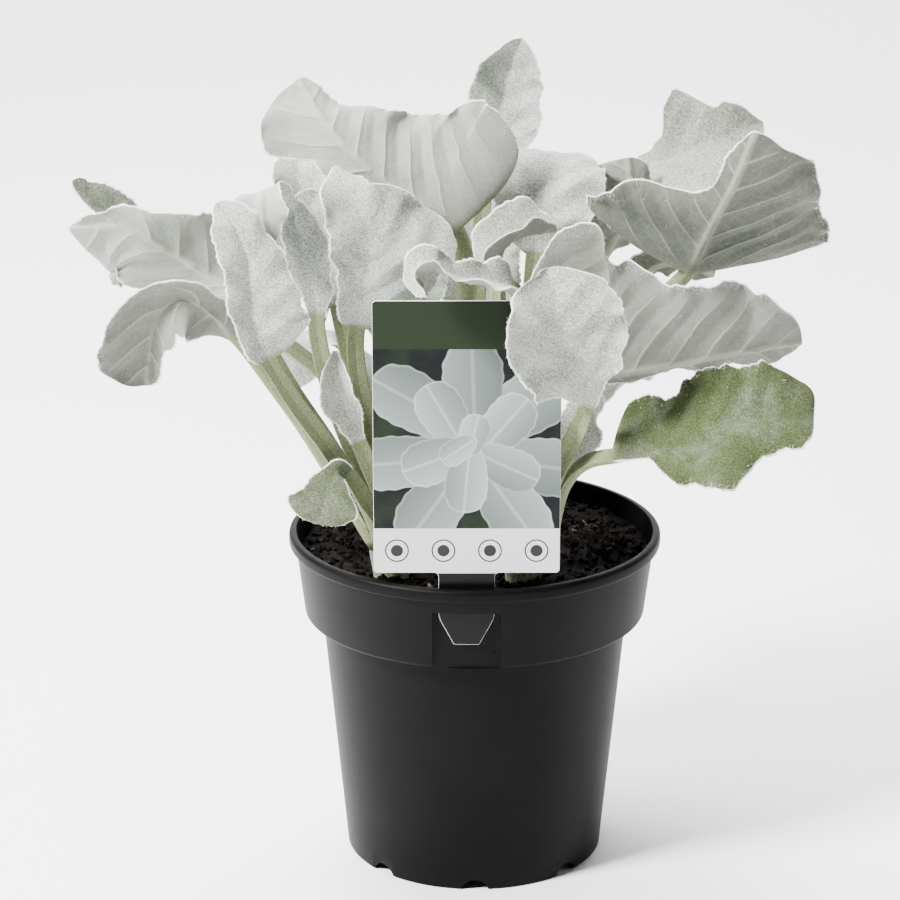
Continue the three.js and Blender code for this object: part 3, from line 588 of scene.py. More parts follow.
felt_nap = felt_group()
stem_look, tree, shader = new_material("downy_stem")
nap = add_node(tree, "ShaderNodeGroup", node_tree=felt_nap)
green = blend_colour(tree, nap.outputs["Patches"], *STEM_GREEN)
downy = blend_colour(tree, nap.outputs["Speckle"], green, STEM_DOWN)
tree.links.new(downy, shader.inputs["Base Color"])
matt = maths(tree, "MULTIPLY_ADD", nap.outputs["Speckle"], 0.2, 0.65)
tree.links.new(matt, shader.inputs["Roughness"])
relief = {"Height": nap.outputs["Height"], "Strength": 0.4, "Distance": 0.0004}
bump = add_node(tree, "ShaderNodeBump", relief)
tree.links.new(bump.outputs[0], shader.inputs["Normal"])
shader.inputs["Sheen Weight"].default_value = 0.3

for name, (node, foot, radius, top) in STEMS.items():
    profile = [
        (0, SOIL_LEVEL - STEM_ROOT_DEPTH, 0),
        (radius * 0.7, SOIL_LEVEL - STEM_ROOT_DEPTH, 0.001),
        (radius * 0.8, SOIL_LEVEL, 0.004),
        (radius, SOIL_LEVEL + 0.012, 0.006),
        (radius, top - 0.010, 0.004),
        (0, top, 0),
    ]
    stem = turned(name, rounded_profile(profile), STEM_SIDES)
    for vertex in stem.data.vertices:
        swell = 1 + 0.10 * noise.noise(vertex.co * 90)
        vertex.co = Vector((vertex.co.x * swell + foot[0], vertex.co.y * swell + foot[1], vertex.co.z))
    stem.data.materials.append(stem_look)
    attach(stem, "root")
    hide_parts(node)

# Each leaf is one thick felted blade on its own petiole. The midrib runs from the stem to the tip, in
# millimetres from the pot's axis, and blade is where along it the blade begins. face is the way the
# upper side looks. left and right are half-widths, and fold and curl are degrees towards the upper side.
# pale is each leaf's share of the lit underside tone: painted light where the leaf stands in light, painted
# shade where it lies in shade.
LEAVES = {
    "far_left": dict(
        rib=[
          [-46, -36, 180], [-71, -41, 232], [-92, -42, 262], [-110, -37, 292], [-119, -35, 306],
          [-128, -35, 312], [-137, -38, 319], [-147, -42, 326], [-156, -46, 333], [-167, -47, 338],
          [-177, -46, 339], [-186, -44, 338], [-194, -42, 337],
        ],
        face=[[0.6, 0, 0.8], [0.5, 0.3, 0.8], [0.1, 0.95, 0.35], [0, 0.95, 0.3], [0, 0.95, 0.3]],
        blade=0.57, left=[42, 46, 39, 27, 15, 9, 5], right=[4, 14, 26, 34, 40, 45, 32],
        fold=[[8, 8], [5, 5]], curl=[[-20, -30], [15, 25]],
        green=0.2, pale=0.7,
    ),
    "far_left_back": dict(
        rib=[[-18, 22, 180], [-70, 15, 242], [-114, 8, 280], [-158, 0, 314], [-196, -8, 352]],
        face=[[0.5, -0.2, 0.8], [0.2, -0.6, 0.75], [0.1, -0.7, 0.7]],
        blade=0.55, left=[14, 18, 16, 10, 5], right=[8, 12, 12, 12, 8], fold=[12, 12], curl=[10, 10],
        green=0.7,
    ),
    "low_left": dict(
        rib=[
          [-49, -46, 178], [-79, -54, 235], [-96, -56, 262], [-107, -61, 280], [-115, -67, 292],
          [-126, -74, 305], [-137, -78, 311], [-147, -77, 307], [-153, -72, 294], [-156, -67, 276],
          [-157, -65, 266],
        ],
        face=[
          [0.7, 0, 0.7], [0.6, -0.1, 0.8], [0.3, 0.2, 0.9], [0, 0.85, 0.5], [-0.3, 0.9, 0.3],
          [-0.4, 0.9, 0],
        ],
        blade=0.6, left=[8, 10, 16, 27, 29, 22], right=[8, 16, 20, 16, 12, 8],
        fold=[[-5, -10, 0], [-20, -60, -60]], curl=[[-10, -20], [-10, -20]],
        pale=0.25,
    ),
    "left_upright": dict(
        rib=[
          [-50, -55, 192], [-69, -65, 231], [-86, -76, 260], [-98, -84, 284], [-103, -88, 298],
          [-105, -90, 314], [-106, -91, 333], [-112, -88, 349], [-120, -81, 359],
        ],
        face=[[0.5, -0.6, 0.5], [0.3, -0.8, 0.4], [0.2, -0.95, 0.2], [0.2, -0.95, 0.1]],
        blade=0.56, left=[8, 9, 11, 13, 12, 7], right=[22, 26, 23, 17, 12, 7], fold=[22, 22],
        curl=[[-10, -20], [-20, -35]],
        wave=1,
    ),
    "left_curled": dict(
        rib=[
          [-42, -44, 198], [-54, -48, 216], [-64, -50, 240], [-72, -50, 266], [-76, -50, 286],
          [-77, -52, 304], [-81, -53, 323], [-85, -52, 339], [-89, -50, 349], [-94, -53, 357],
          [-99, -60, 359], [-101, -68, 355], [-100, -73, 347], [-96, -74, 337],
        ],
        face=[
          [0.4, -0.7, 0.5], [0.2, -0.9, 0.3], [0, -1, 0.2], [0, -1, 0.1], [0, -0.8, -0.5],
          [0, 0.9, -0.4],
        ],
        blade=0.5, left=[3, 6, 9, 8, 4, 9, 14, 11], right=[4, 10, 13, 11, 6, 9, 13, 10],
        fold=[[10, 5], [20, 5]], curl=[[0, -30], [0, -30]], wave=1,
        pale=1.0,
    ),
    "centre_left": dict(
        rib=[
          [-37, -33, 192], [-48, -38, 224], [-56, -43, 256], [-58, -47, 280], [-57, -50, 290],
          [-55, -54, 304], [-52, -57, 320], [-51, -58, 335], [-55, -56, 349], [-62, -52, 360],
          [-67, -46, 368],
        ],
        face=[[0.5, -0.8, 0.2], [0.2, -0.9, 0.2], [0, -0.95, 0.2], [0.1, -0.95, 0.2], [0.2, -0.9, 0.2]],
        blade=0.54, left=[12, 10, 14, 19, 19, 15, 6], right=[10, 26, 36, 42, 28, 11, 4],
        fold=[5, 5], curl=[[15, 15], [-30, -25]],
    ),
    "left_back": dict(
        rib=[[-12, 25, 196], [-46, 26, 262], [-78, 16, 314], [-85, 12, 335], [-87, 14, 350], [-88, 22, 361]],
        face=[[0.5, -0.5, 0.6], [0.3, -0.8, 0.4], [0.1, -0.9, 0.4]],
        blade=0.6, left=[8, 16, 17, 14, 12], right=[8, 18, 22, 20, 16], fold=[10, 10], curl=[20, 20],
    ),
    "left_middle": dict(
        rib=[[-42, -30, 200], [-60, -20, 258], [-72, -17, 312], [-78, -15, 334], [-84, -12, 348]],
        face=[[0.5, -0.6, 0.5], [0.2, -0.9, 0.3], [0.1, -0.9, 0.4]],
        blade=0.62, left=[8, 15, 16, 10], right=[8, 17, 18, 10], fold=[10, 10], curl=[0, 0],
    ),
    "top_left": dict(
        rib=[
          [-8, 10, 196], [-7, 2, 250], [-5, -10, 292], [-5, -22, 316], [-8, -30, 330], [-13, -34, 339],
          [-24, -36, 346], [-39, -36, 355], [-54, -36, 367], [-67, -33, 380], [-77, -27, 393],
          [-84, -21, 405],
        ],
        face=[
          [-0.2, -0.9, 0], [-0.8, -0.4, 0], [-0.4, 0.8, 0.2], [-0.1, 0.95, 0.1], [-0.1, 0.95, 0],
          [0, 0.95, 0],
        ],
        blade=0.58, left=[70, 58, 43, 33, 24, 10, 7], right=[6, 8, 11, 14, 17, 33, 28],
        fold=[[5, 10], [10, 10]], curl=[[10, 20], [-10, -20]],
        pale=0.8,
    ),
    "top": dict(
        rib=[[-2, 28, 200], [0, 44, 256], [5, 54, 332], [12, 56, 370], [17, 52, 394], [23, 44, 412]],
        face=[[0, -0.9, 0.3], [0, -0.95, 0.2], [0, -0.95, 0.1]],
        blade=0.6, left=[8, 15, 19, 16, 9], right=[8, 17, 21, 19, 10], fold=[14, 14],
        curl=[10, 10], wave=1,
        green=0.0,
    ),
    "centre_right": dict(
        rib=[
          [26, -36, 198], [27, -24, 247], [28, -16, 311], [31, -18, 338], [34, -13, 353], [38, 0, 362],
          [42, 14, 361],
        ],
        face=[[0, -0.9, 0.4], [0, -0.95, 0.2], [0, -0.9, 0.4], [0, -0.3, 0.95]],
        blade=0.64, left=[10, 20, 25, 23, 12], right=[10, 24, 29, 27, 14], fold=[5, 5], curl=[-10, -10],
    ),
    "right_middle": dict(
        rib=[[6, 18, 198], [34, 9, 258], [62, 1, 312], [73, -3, 332], [76, -3, 346], [74, -1, 362]],
        face=[[-0.4, -0.6, 0.6], [-0.3, 0.6, 0.6], [-0.1, 0.95, 0.1]],
        blade=0.68, left=[4, 8, 10, 10], right=[6, 18, 26, 24], fold=[8, 8], curl=[10, 10],
    ),
    "top_right": dict(
        rib=[
          [0, 30, 190], [28, 34, 262], [54, 28, 312], [68, 22, 336], [80, 18, 351], [93, 14, 358],
          [106, 11, 364], [120, 9, 370], [133, 11, 375], [141, 15, 376],
        ],
        face=[[-0.6, -0.2, 0.8], [-0.5, -0.4, 0.8], [-0.3, -0.5, 0.8], [-0.2, -0.6, 0.8]],
        blade=0.58, left=[4, 4, 5, 9, 31, 14, 4], right=[8, 12, 20, 26, 26, 20, 10],
        fold=[[30, 40], [-10, -20]], curl=[[10, 10], [10, 20]],
        green=0.4,
    ),
    "right": dict(
        rib=[
          [6, 12, 186], [44, -2, 248], [78, -10, 284], [94, -18, 300], [101, -25, 309],
          [105, -32, 318], [110, -44, 334], [116, -56, 351], [122, -66, 368], [126, -73, 382],
          [129, -76, 391],
        ],
        face=[[-0.4, 0, 0.8], [-0.5, 0.2, 0.8], [-0.3, 0.8, 0.5], [0, 0.9, 0.5], [0.1, 0.9, 0.3]],
        blade=0.64, left=[52, 66, 62, 52, 44, 34, 16], right=[44, 60, 51, 12, 8, 7, 5],
        fold=[[5, 5], [12, 12]], curl=[[15, 20], [10, 20]],
        pale=0.1,
    ),
    "right_small": dict(
        rib=[
          [8, 26, 178], [44, 20, 240], [70, 10, 282], [80, 5, 298], [90, 2, 307], [104, 0, 308],
          [118, -1, 303],
        ],
        face=[[-0.6, 0, 0.8], [-0.3, 0.4, 0.8], [0, 0.85, 0.5]],
        blade=0.68, left=[6, 9, 9, 7], right=[8, 12, 11, 8], fold=[12, 12], curl=[0, 0],
        pale=0.0,
    ),
    "right_centre": dict(
        rib=[
          [32, -42, 198], [31, -48, 232], [36, -54, 256], [44, -58, 265], [58, -61, 270], [72, -63, 272],
          [86, -65, 275], [102, -66, 278], [116, -66, 281], [131, -64, 283], [146, -61, 285],
          [155, -58, 285],
        ],
        face=[[-0.6, 0.2, 0.8], [-0.3, 0.9, 0.4], [-0.1, 0.95, 0.25], [0, 0.85, 0.5], [0.2, 0.8, 0.5]],
        blade=0.38, left=[8, 6, 5, 6, 9, 15, 14], right=[76, 78, 56, 44, 40, 31, 15],
        fold=[5, 5], curl=[[0, 0], [10, 20]],
        pale=0.3,
    ),
    "front_right": dict(
        rib=[
          [28, -58, 190], [38, -70, 222], [49, -83, 252], [52, -91, 267], [48, -100, 284],
          [40, -106, 304], [36, -106, 319], [33, -98, 332],
        ],
        face=[
          [-0.2, -0.5, 0.8], [-0.2, -0.7, 0.7], [0, -0.95, 0.3], [0, -1, 0.2], [0, -0.9, 0.5],
          [0, -0.3, 0.9],
        ],
        blade=0.5, left=[4, 14, 25, 29, 29, 22, 8], right=[4, 7, 20, 28, 29, 25, 12], fold=[5, 5],
        curl=[15, 15],
    ),
    "low_right": dict(
        rib=[
          [36, -48, 180], [42, -62, 214], [52, -74, 230], [69, -84, 237], [82, -89, 240],
          [96, -93, 245], [112, -96, 252], [129, -96, 259], [145, -92, 265], [158, -86, 269],
        ],
        face=[[-0.6, -0.2, 0.8], [-0.5, -0.3, 0.8], [-0.2, -0.5, 0.8], [0, -0.6, 0.8], [0.1, -0.7, 0.7]],
        blade=0.42, left=[38, 32, 27, 34, 31, 24, 14], right=[3, 4, 22, 35, 21, 24, 12],
        fold=[8, 8], curl=[[0, -10], [-10, -20]],
        green=1.0,
    ),
    "right_inner": dict(
        rib=[[32, -36, 180], [42, -35, 208], [49, -36, 229], [55, -38, 244], [62, -42, 252]],
        face=[[-0.6, -0.4, 0.6], [-0.3, -0.6, 0.6], [0.1, -0.6, 0.7]],
        blade=0.42, left=[6, 11, 11, 6], right=[6, 13, 13, 6], fold=[10, 10], curl=[0, 0],
        wave=1,
    ),
    "back_right_low": dict(
        rib=[[4, 15, 170], [42, 12, 214], [66, 15, 238], [88, 19, 250], [112, 21, 254]],
        face=[[-0.6, 0, 0.8], [-0.2, 0, 0.95], [0.2, 0, 0.95]],
        blade=0.5, left=[12, 24, 26, 16], right=[10, 17, 18, 14], fold=[10, 10], curl=[0, 0],
        green=0.6,
    ),
    "over_rim": dict(
        rib=[
          [-42, -55, 172], [-52, -65, 204], [-60, -71, 221], [-66, -77, 227], [-70, -82, 221],
          [-73, -84, 210], [-75, -85, 202],
        ],
        face=[[0.5, -0.3, 0.8], [0.2, -0.3, 0.9], [0, -0.6, 0.7], [0, -0.9, 0.2], [0, -0.95, 0.1]],
        blade=0.6, left=[2, 4, 10, 17, 14], right=[2, 4, 10, 17, 13],
        fold=[10, 10], curl=[-20, -20], wave=1,
        green=0.9,
    ),
    "back_left_low": dict(
        rib=[[-13, 29, 170], [-42, 40, 212], [-64, 48, 246], [-77, 46, 257], [-86, 38, 250], [-89, 30, 236]],
        face=[[0.5, -0.3, 0.8], [0.3, -0.3, 0.9], [-0.2, 0, 0.9], [-0.7, -0.5, 0.4]],
        blade=0.5, left=[8, 18, 20, 12], right=[8, 18, 20, 12], fold=[10, 10], curl=[-10, -10],
        pale=0.0,
    ),
    "bud": dict(
        rib=[
          [-40, -54, 196], [-51, -58, 222], [-60, -60, 244], [-65, -64, 259], [-67, -67, 271],
          [-67, -68, 283],
        ],
        face=[[0.2, -0.9, 0.3], [0, -1, 0.1], [0, -1, 0]],
        blade=0.45, left=[1, 6, 11, 12, 8], right=[1, 6, 11, 12, 8],
        fold=[[10, 50], [10, 50]], curl=[20, 20], wave=0,
    ),
    "over_tag": dict(
        rib=[
          [14, -50, 198], [14, -56, 240], [16, -63, 280], [19, -70, 303], [20, -77, 314],
          [16, -85, 320], [5, -92, 324], [-7, -98, 327], [-16, -102, 332], [-23, -105, 334],
          [-27, -107, 330], [-24, -109, 321],
        ],
        face=[
          [0, -1, 0.2], [0, -1, 0.1], [0, -0.9, 0.2], [0.1, -0.7, 0.6], [-0.1, -0.4, 0.9],
          [-0.9, -0.3, 0.1],
        ],
        blade=0.66, left=[12, 15, 16, 13, 10, 11, 8], right=[12, 12, 9, 8, 9, 11, 8],
        fold=[[20, 20], [20, 20]], curl=[[20, 20], [20, 20]],
    ),
    "cupped": dict(
        rib=[
          [14, -42, 204], [12, -44, 256], [10, -48, 308], [10, -49, 322], [14, -50, 331],
          [24, -47, 335], [38, -42, 336],
        ],
        face=[[0, -0.9, 0.2], [-0.5, -0.7, 0.3], [-0.4, -0.3, 0.8], [0, -0.2, 0.95]],
        blade=0.72, left=[8, 16, 17, 8], right=[8, 14, 14, 8], fold=[45, 40], curl=[20, 20],
        wave=1,
    ),
    "inner": dict(
        rib=[[-14, 15, 206], [-23, 0, 262], [-26, -9, 312], [-28, -11, 330]],
        face=[[0, -0.9, 0.2], [0, -0.95, 0.1]],
        blade=0.66, left=[6, 12, 12, 7], right=[6, 12, 12, 7], fold=[25, 25], curl=[10, 10],
        wave=1,
    ),
    "back_centre": dict(
        rib=[[-10, 29, 186], [-30, 54, 230], [-44, 70, 272], [-57, 75, 286], [-71, 75, 277], [-80, 73, 256]],
        face=[[0.2, -0.5, 0.8], [0, -0.2, 0.9], [-0.7, 0, 0.5]],
        blade=0.5, left=[8, 20, 22, 12], right=[8, 20, 22, 12], fold=[10, 10], curl=[-10, -10],
    ),
    "back_tall": dict(
        rib=[[-3, 32, 172], [6, 60, 232], [0, 76, 288], [0, 84, 318], [-4, 84, 340]],
        face=[[0, -0.6, 0.7], [0, -0.7, 0.6], [0.1, -0.9, 0.3]],
        blade=0.5, left=[8, 24, 28, 14], right=[8, 24, 26, 14], fold=[12, 12], curl=[15, 15],
    ),
    "back_right": dict(
        rib=[[1, 32, 168], [30, 56, 222], [56, 70, 262], [78, 76, 278], [98, 78, 272]],
        face=[[-0.5, -0.5, 0.8], [-0.3, -0.3, 0.9], [0.2, 0.2, 0.9]],
        blade=0.5, left=[8, 24, 28, 14], right=[8, 22, 24, 12], fold=[10, 10], curl=[-10, -10],
    ),
}

MM = 0.001
PLAIN_GREENNESS = 0.1
# The plain leaf's share of the lit underside tone: painted light and shade.
PLAIN_UNDERSIDE_LIGHTING = 0.4
BLADE_THICKNESS = 0.0011
STALK_HALF_WIDTH = 4.6
STALK_DEPTH = 4.2
RIB_HALF_WIDTH = 0.0028
STALK_ROWS = 25
ROW_STEP = 0.0010
COLUMN_STEP = 0.0014
TOOTH_PITCH = 0.0038
TOOTH_DEPTH = 0.0009
LOBE_DEPTH = 0.0011
VEIN_PITCH = 0.0170
VEIN_SLOPE = 0.75
VEIN_CURVE = 4.0
VEIN_RISE = 0.0006
QUILT_RISE = 0.0014
RUFFLE = 0.0018
CRIMP = 0.0008
TOOTH_DRIFT = 0.0063
LOBE_RUNS = (0.0021, 0.0047)
RUFFLE_RUNS = (0.0037, 0.0061)
CRIMP_RUNS = (0.0015, 0.0023)
UNCUT_WIDTH = 0.006
BROAD_WIDTH = 0.025
QUILT_START = 0.012
SILVER_TUFTS = ((0.220, 0.240, 0.202, 1), (0.53, 0.555, 0.51, 1))
BALD_GREEN = ((0.026, 0.040, 0.009, 1), (0.080, 0.100, 0.040, 1))
# The two underside tones are a shaded and a lit copy of the same felt: painted shade and painted light.
SHADED_UNDERSIDE = ((0.060, 0.068, 0.050, 1), (0.110, 0.120, 0.096, 1))
LIT_UNDERSIDE = ((0.30, 0.32, 0.28, 1), (0.44, 0.46, 0.42, 1))
STALK_GREEN = ((0.120, 0.140, 0.060, 1), (0.22, 0.24, 0.140, 1))
VEIN_GREEN = (0.38, 0.41, 0.31, 1)
# The margin's white line is a painted highlight where the edge catches light.
MARGIN_HIGHLIGHT_WHITE = (0.76, 0.77, 0.73, 1)
DOWN_WHITE = (0.88, 0.89, 0.86, 1)


# Values spaced evenly along a leaf are eased from each one to the next.
def eased(values, t):
    values = np.asarray(values, float)
    if values.ndim == 0:
        return np.full(t.shape, float(values))
    place = np.clip(t, 0, 1) * (len(values) - 1)
    before = np.minimum(place.astype(int), len(values) - 2)
    part = place - before
    part = part * part * (3 - 2 * part)
    if values.ndim == 2:
        part = part[:, None]
    return values[before] * (1 - part) + values[before + 1] * part


# A smooth curve through the midrib's points, with the knots spaced by the root of their distance.
def smooth_rib(points, steps=60):
    p = np.asarray(points, float)
    p = np.vstack([2 * p[0] - p[1], p, 2 * p[-1] - p[-2]])
    path = []
    for a, b, c, d in zip(p, p[1:], p[2:], p[3:]):
        ab, bc, cd = (math.sqrt(np.linalg.norm(q - r)) for q, r in ((b, a), (c, b), (d, c)))
        start = ((b - a) / ab - (c - a) / (ab + bc) + (c - b) / bc) * bc
        end = ((c - b) / bc - (d - b) / (bc + cd) + (d - c) / cd) * bc
        w = np.linspace(0, 1, steps, endpoint=False)[:, None]
        bow = (3 * (c - b) - 2 * start - end) * w**2 + (2 * (b - c) + start + end) * w**3
        path.append(b + start * w + bow)
    return np.vstack(path + [p[-2][None]])


def unit(vectors):
    return vectors / np.linalg.norm(vectors, axis=-1, keepdims=True)


def along_path(path, u):
    travelled = np.concatenate([[0], np.cumsum(np.linalg.norm(np.diff(path, axis=0), axis=1))])
    length = travelled[-1]
    step = 0.004

    def point_at(v):
        return np.stack([np.interp(v * length, travelled, path[:, k]) for k in range(3)], axis=1)

    ahead = point_at(np.clip(u + step, 0, 1))
    behind = point_at(np.clip(u - step, 0, 1))
    return point_at(u), unit(ahead - behind), length


# How near each point of the blade lies to a side vein. The veins leave the midrib in turn on both sides,
# bend towards the tip and thin out on their way to the margin.
def vein_ridge(across, along):
    reach = np.abs(across)
    course = along - VEIN_SLOPE * reach - VEIN_CURVE * reach**2
    course = course + np.where(across < 0, VEIN_PITCH / 2, 0)
    away = np.abs(course / VEIN_PITCH - np.round(course / VEIN_PITCH)) * VEIN_PITCH
    width = 0.0013 - 0.010 * reach
    return np.exp(-((away / np.maximum(width, 0.0006)) ** 2)), (away * 2 / VEIN_PITCH) ** 1.5


# Both sides of a leaf as grids of points: rows run up the petiole and blade, columns run from the left
# margin to the right. u is the place along the whole leaf, t along its blade and s across it.
def leaf_grid(leaf, number):
    blade = leaf.get("blade", 0.5)
    path = smooth_rib(leaf["rib"]) * MM
    length = along_path(path, np.zeros(1))[2]
    blade_rows = max(24, int(length * (1 - blade) / ROW_STEP))
    even = np.linspace(0, 1, blade_rows)
    tip_ward = 0.6 * even + 0.4 * (1 - np.cos(math.pi * even)) / 2
    u = np.concatenate([np.linspace(0, blade, STALK_ROWS + 1)[:-1], blade + (1 - blade) * tip_ward])
    t = np.clip((u - blade) / (1 - blade), 0, 1)
    centre, along, length = along_path(path, u)
    facing = eased(leaf["face"], u)
    facing = unit(facing - along * np.sum(facing * along, axis=1, keepdims=True))
    across = np.cross(along, facing)
    widest = max(max(leaf["left"]), max(leaf["right"])) * MM
    half_columns = max(8, int(widest / COLUMN_STEP))
    spread = np.linspace(0, 1, half_columns + 1)
    spread = np.concatenate([-spread[:0:-1], spread])
    s, tt = np.meshgrid(spread, t)
    right = s >= 0
    reach = np.abs(s)
    body = np.where(t > 0, np.sqrt(1 - np.abs(2 * np.minimum(t, 0.9995) - 1) ** 7), 0)
    stalk_width = STALK_HALF_WIDTH * (1.15 - 0.35 * np.minimum(1, u / blade)) * (1 - 0.85 * t)

    def per_side(key, default):
        first, second = leaf.get(key, default)
        return np.where(right, eased(second, t)[:, None], eased(first, t)[:, None])

    right_width = eased(leaf["right"], t)[:, None]
    blade_width = np.where(right, right_width, eased(leaf["left"], t)[:, None])
    width = np.hypot(stalk_width[:, None], blade_width * body[:, None]) * MM
    strength = np.minimum(1, tt * 6)
    lift = np.radians(per_side("fold", [0, 0]) * strength + 12 * (1 - strength))
    turn = np.radians(per_side("curl", [0, 0]) * strength) + 1e-6

    # The margin is cut into small uneven teeth over broader lobes, and it ruffles where it is widest.
    edge_run = tt * length * (1 - blade) + width * 0.5
    side = np.where(right, 1.7, 0.0) + number
    tooth_phase = edge_run / TOOTH_PITCH + 0.35 * np.sin(edge_run / TOOTH_DRIFT + side)
    tooth = np.abs(np.sin(math.pi * tooth_phase)) * np.minimum(1, tt * 12) * body[:, None]
    small, large = LOBE_RUNS
    lobe = np.sin(edge_run / small + side) * 0.4 + np.sin(edge_run / large + 2 * side) * 0.6
    cut = TOOTH_DEPTH * (tooth - 0.5) * reach**20
    cut = cut + LOBE_DEPTH * lobe * reach**4 * np.minimum(1, tt * 6)
    width = width + cut * (width > UNCUT_WIDTH)
    angle = lift + turn * reach
    out = width / turn * (np.sin(angle) - np.sin(lift)) * np.sign(s)
    phase = 2 * math.pi * leaf.get("waves", 3) * tt + np.where(right, 0.9, 0) + len(leaf["rib"])
    soft = body[:, None] * np.minimum(1, tt * 4)
    up = width / turn * (np.cos(lift) - np.cos(angle))
    up = up + leaf.get("wave", 2) * MM * soft * reach**2 * np.sin(phase)
    run = tt * length * (1 - blade)
    broad = np.minimum(1, width / BROAD_WIDTH)
    small, large = RUFFLE_RUNS
    ruffle = np.sin(run / small + 2.4 * side) * 0.6 + np.sin(run / large + 3 * side) * 0.7
    small, large = CRIMP_RUNS
    crimp = np.sin(run / small + side) + 0.7 * np.sin(run / large + 2 * side)
    up = up + soft * broad * (RUFFLE * reach**2.5 * ruffle + CRIMP * reach**8 * crimp)
    flat_across = s * width
    veins, pillow = vein_ridge(flat_across, run)
    pillow = pillow * np.minimum(1, np.abs(flat_across) / QUILT_START) * (1 - 0.6 * reach**4)
    up = up + QUILT_RISE * pillow * soft

    upper = centre[:, None] + across[:, None] * out[..., None] + facing[:, None] * up[..., None]
    outward = (np.sin(angle) * np.sign(s))[..., None]
    normal = facing[:, None] * np.cos(angle)[..., None] - across[:, None] * outward
    on_blade = np.minimum(1, tt * 5)
    rib_depth = STALK_DEPTH * MM * (1 - 0.62 * np.minimum(1, tt * 2.2)) - BLADE_THICKNESS
    rib_form = np.exp(-((flat_across / (RIB_HALF_WIDTH * (1 - 0.6 * tt))) ** 2))
    stalk_form = np.sqrt(np.maximum(0, 1 - reach**2))
    rib = rib_depth * (rib_form * on_blade + stalk_form * (1 - on_blade))
    veins = veins * on_blade * (1 - reach**3) * np.minimum(1, width / 0.012)
    thin = BLADE_THICKNESS * (1 - 0.5 * reach**3)
    lower = upper - normal * (thin + rib + VEIN_RISE * veins)[..., None]
    upper = upper - normal * (0.45 * VEIN_RISE * veins)[..., None]
    return upper, lower, flat_across, run, reach, tt


# The two sides are joined round the margin by a narrow rounded edge, and capped at the foot and the tip.
def leaf_mesh(name, leaf, number):
    upper, lower, flat, run, reach, t = leaf_grid(leaf, number)
    rows = len(upper)
    middle = (upper + lower) / 2
    edge_out = unit(upper[:, [0, -1]] - upper[:, [1, -2]]) * BLADE_THICKNESS * 0.4
    left_edge = middle[:, :1] + edge_out[:, :1]
    right_edge = middle[:, -1:] + edge_out[:, 1:]
    ring = np.concatenate([left_edge, upper, right_edge, lower[:, ::-1]], axis=1)
    count = ring.shape[1]
    faces = []
    for row in range(rows - 1):
        low, high = row * count, (row + 1) * count
        for k in range(count):
            after = (k + 1) % count
            faces.append((low + k, low + after, high + after, high + k))
    faces.append(tuple(range(count))[::-1])
    faces.append(tuple(range((rows - 1) * count, rows * count)))
    piece = new_object(name, ring.reshape(-1, 3), faces)
    mesh = piece.data

    def ringed(first, second, margin):
        edge = np.full((rows, 1), margin) if np.isscalar(margin) else margin
        return np.concatenate([edge, first, edge, second[:, ::-1]], axis=1).ravel()

    values = {
        "underside": ringed(np.zeros_like(reach), np.ones_like(reach), 0.5),
        "margin": ringed(reach, reach, 1.0),
        "blade_run": ringed(t, t, t[:, :1]),
        "greenness": np.full(ring[..., 0].size, leaf.get("green", PLAIN_GREENNESS)),
        # How much of the lit underside tone each leaf gets: painted light and shade.
        "underside_lighting": np.full(ring[..., 0].size, leaf.get("pale", PLAIN_UNDERSIDE_LIGHTING)),
    }
    for key, column in values.items():
        layer = mesh.attributes.new(key, "FLOAT", "POINT")
        layer.data.foreach_set("value", column.astype(np.float32))
    flat_ring = np.concatenate([flat[:, :1], flat, flat[:, -1:], flat[:, ::-1]], axis=1).ravel()
    run_ring = ringed(run, run, run[:, :1])
    loops = np.zeros(len(mesh.loops), dtype=np.int32)
    mesh.loops.foreach_get("vertex_index", loops)
    flattened = mesh.uv_layers.new(name="flattened_leaf")
    flattened.data.foreach_set("uv", np.stack([flat_ring[loops], run_ring[loops]], axis=1).ravel())
    return piece
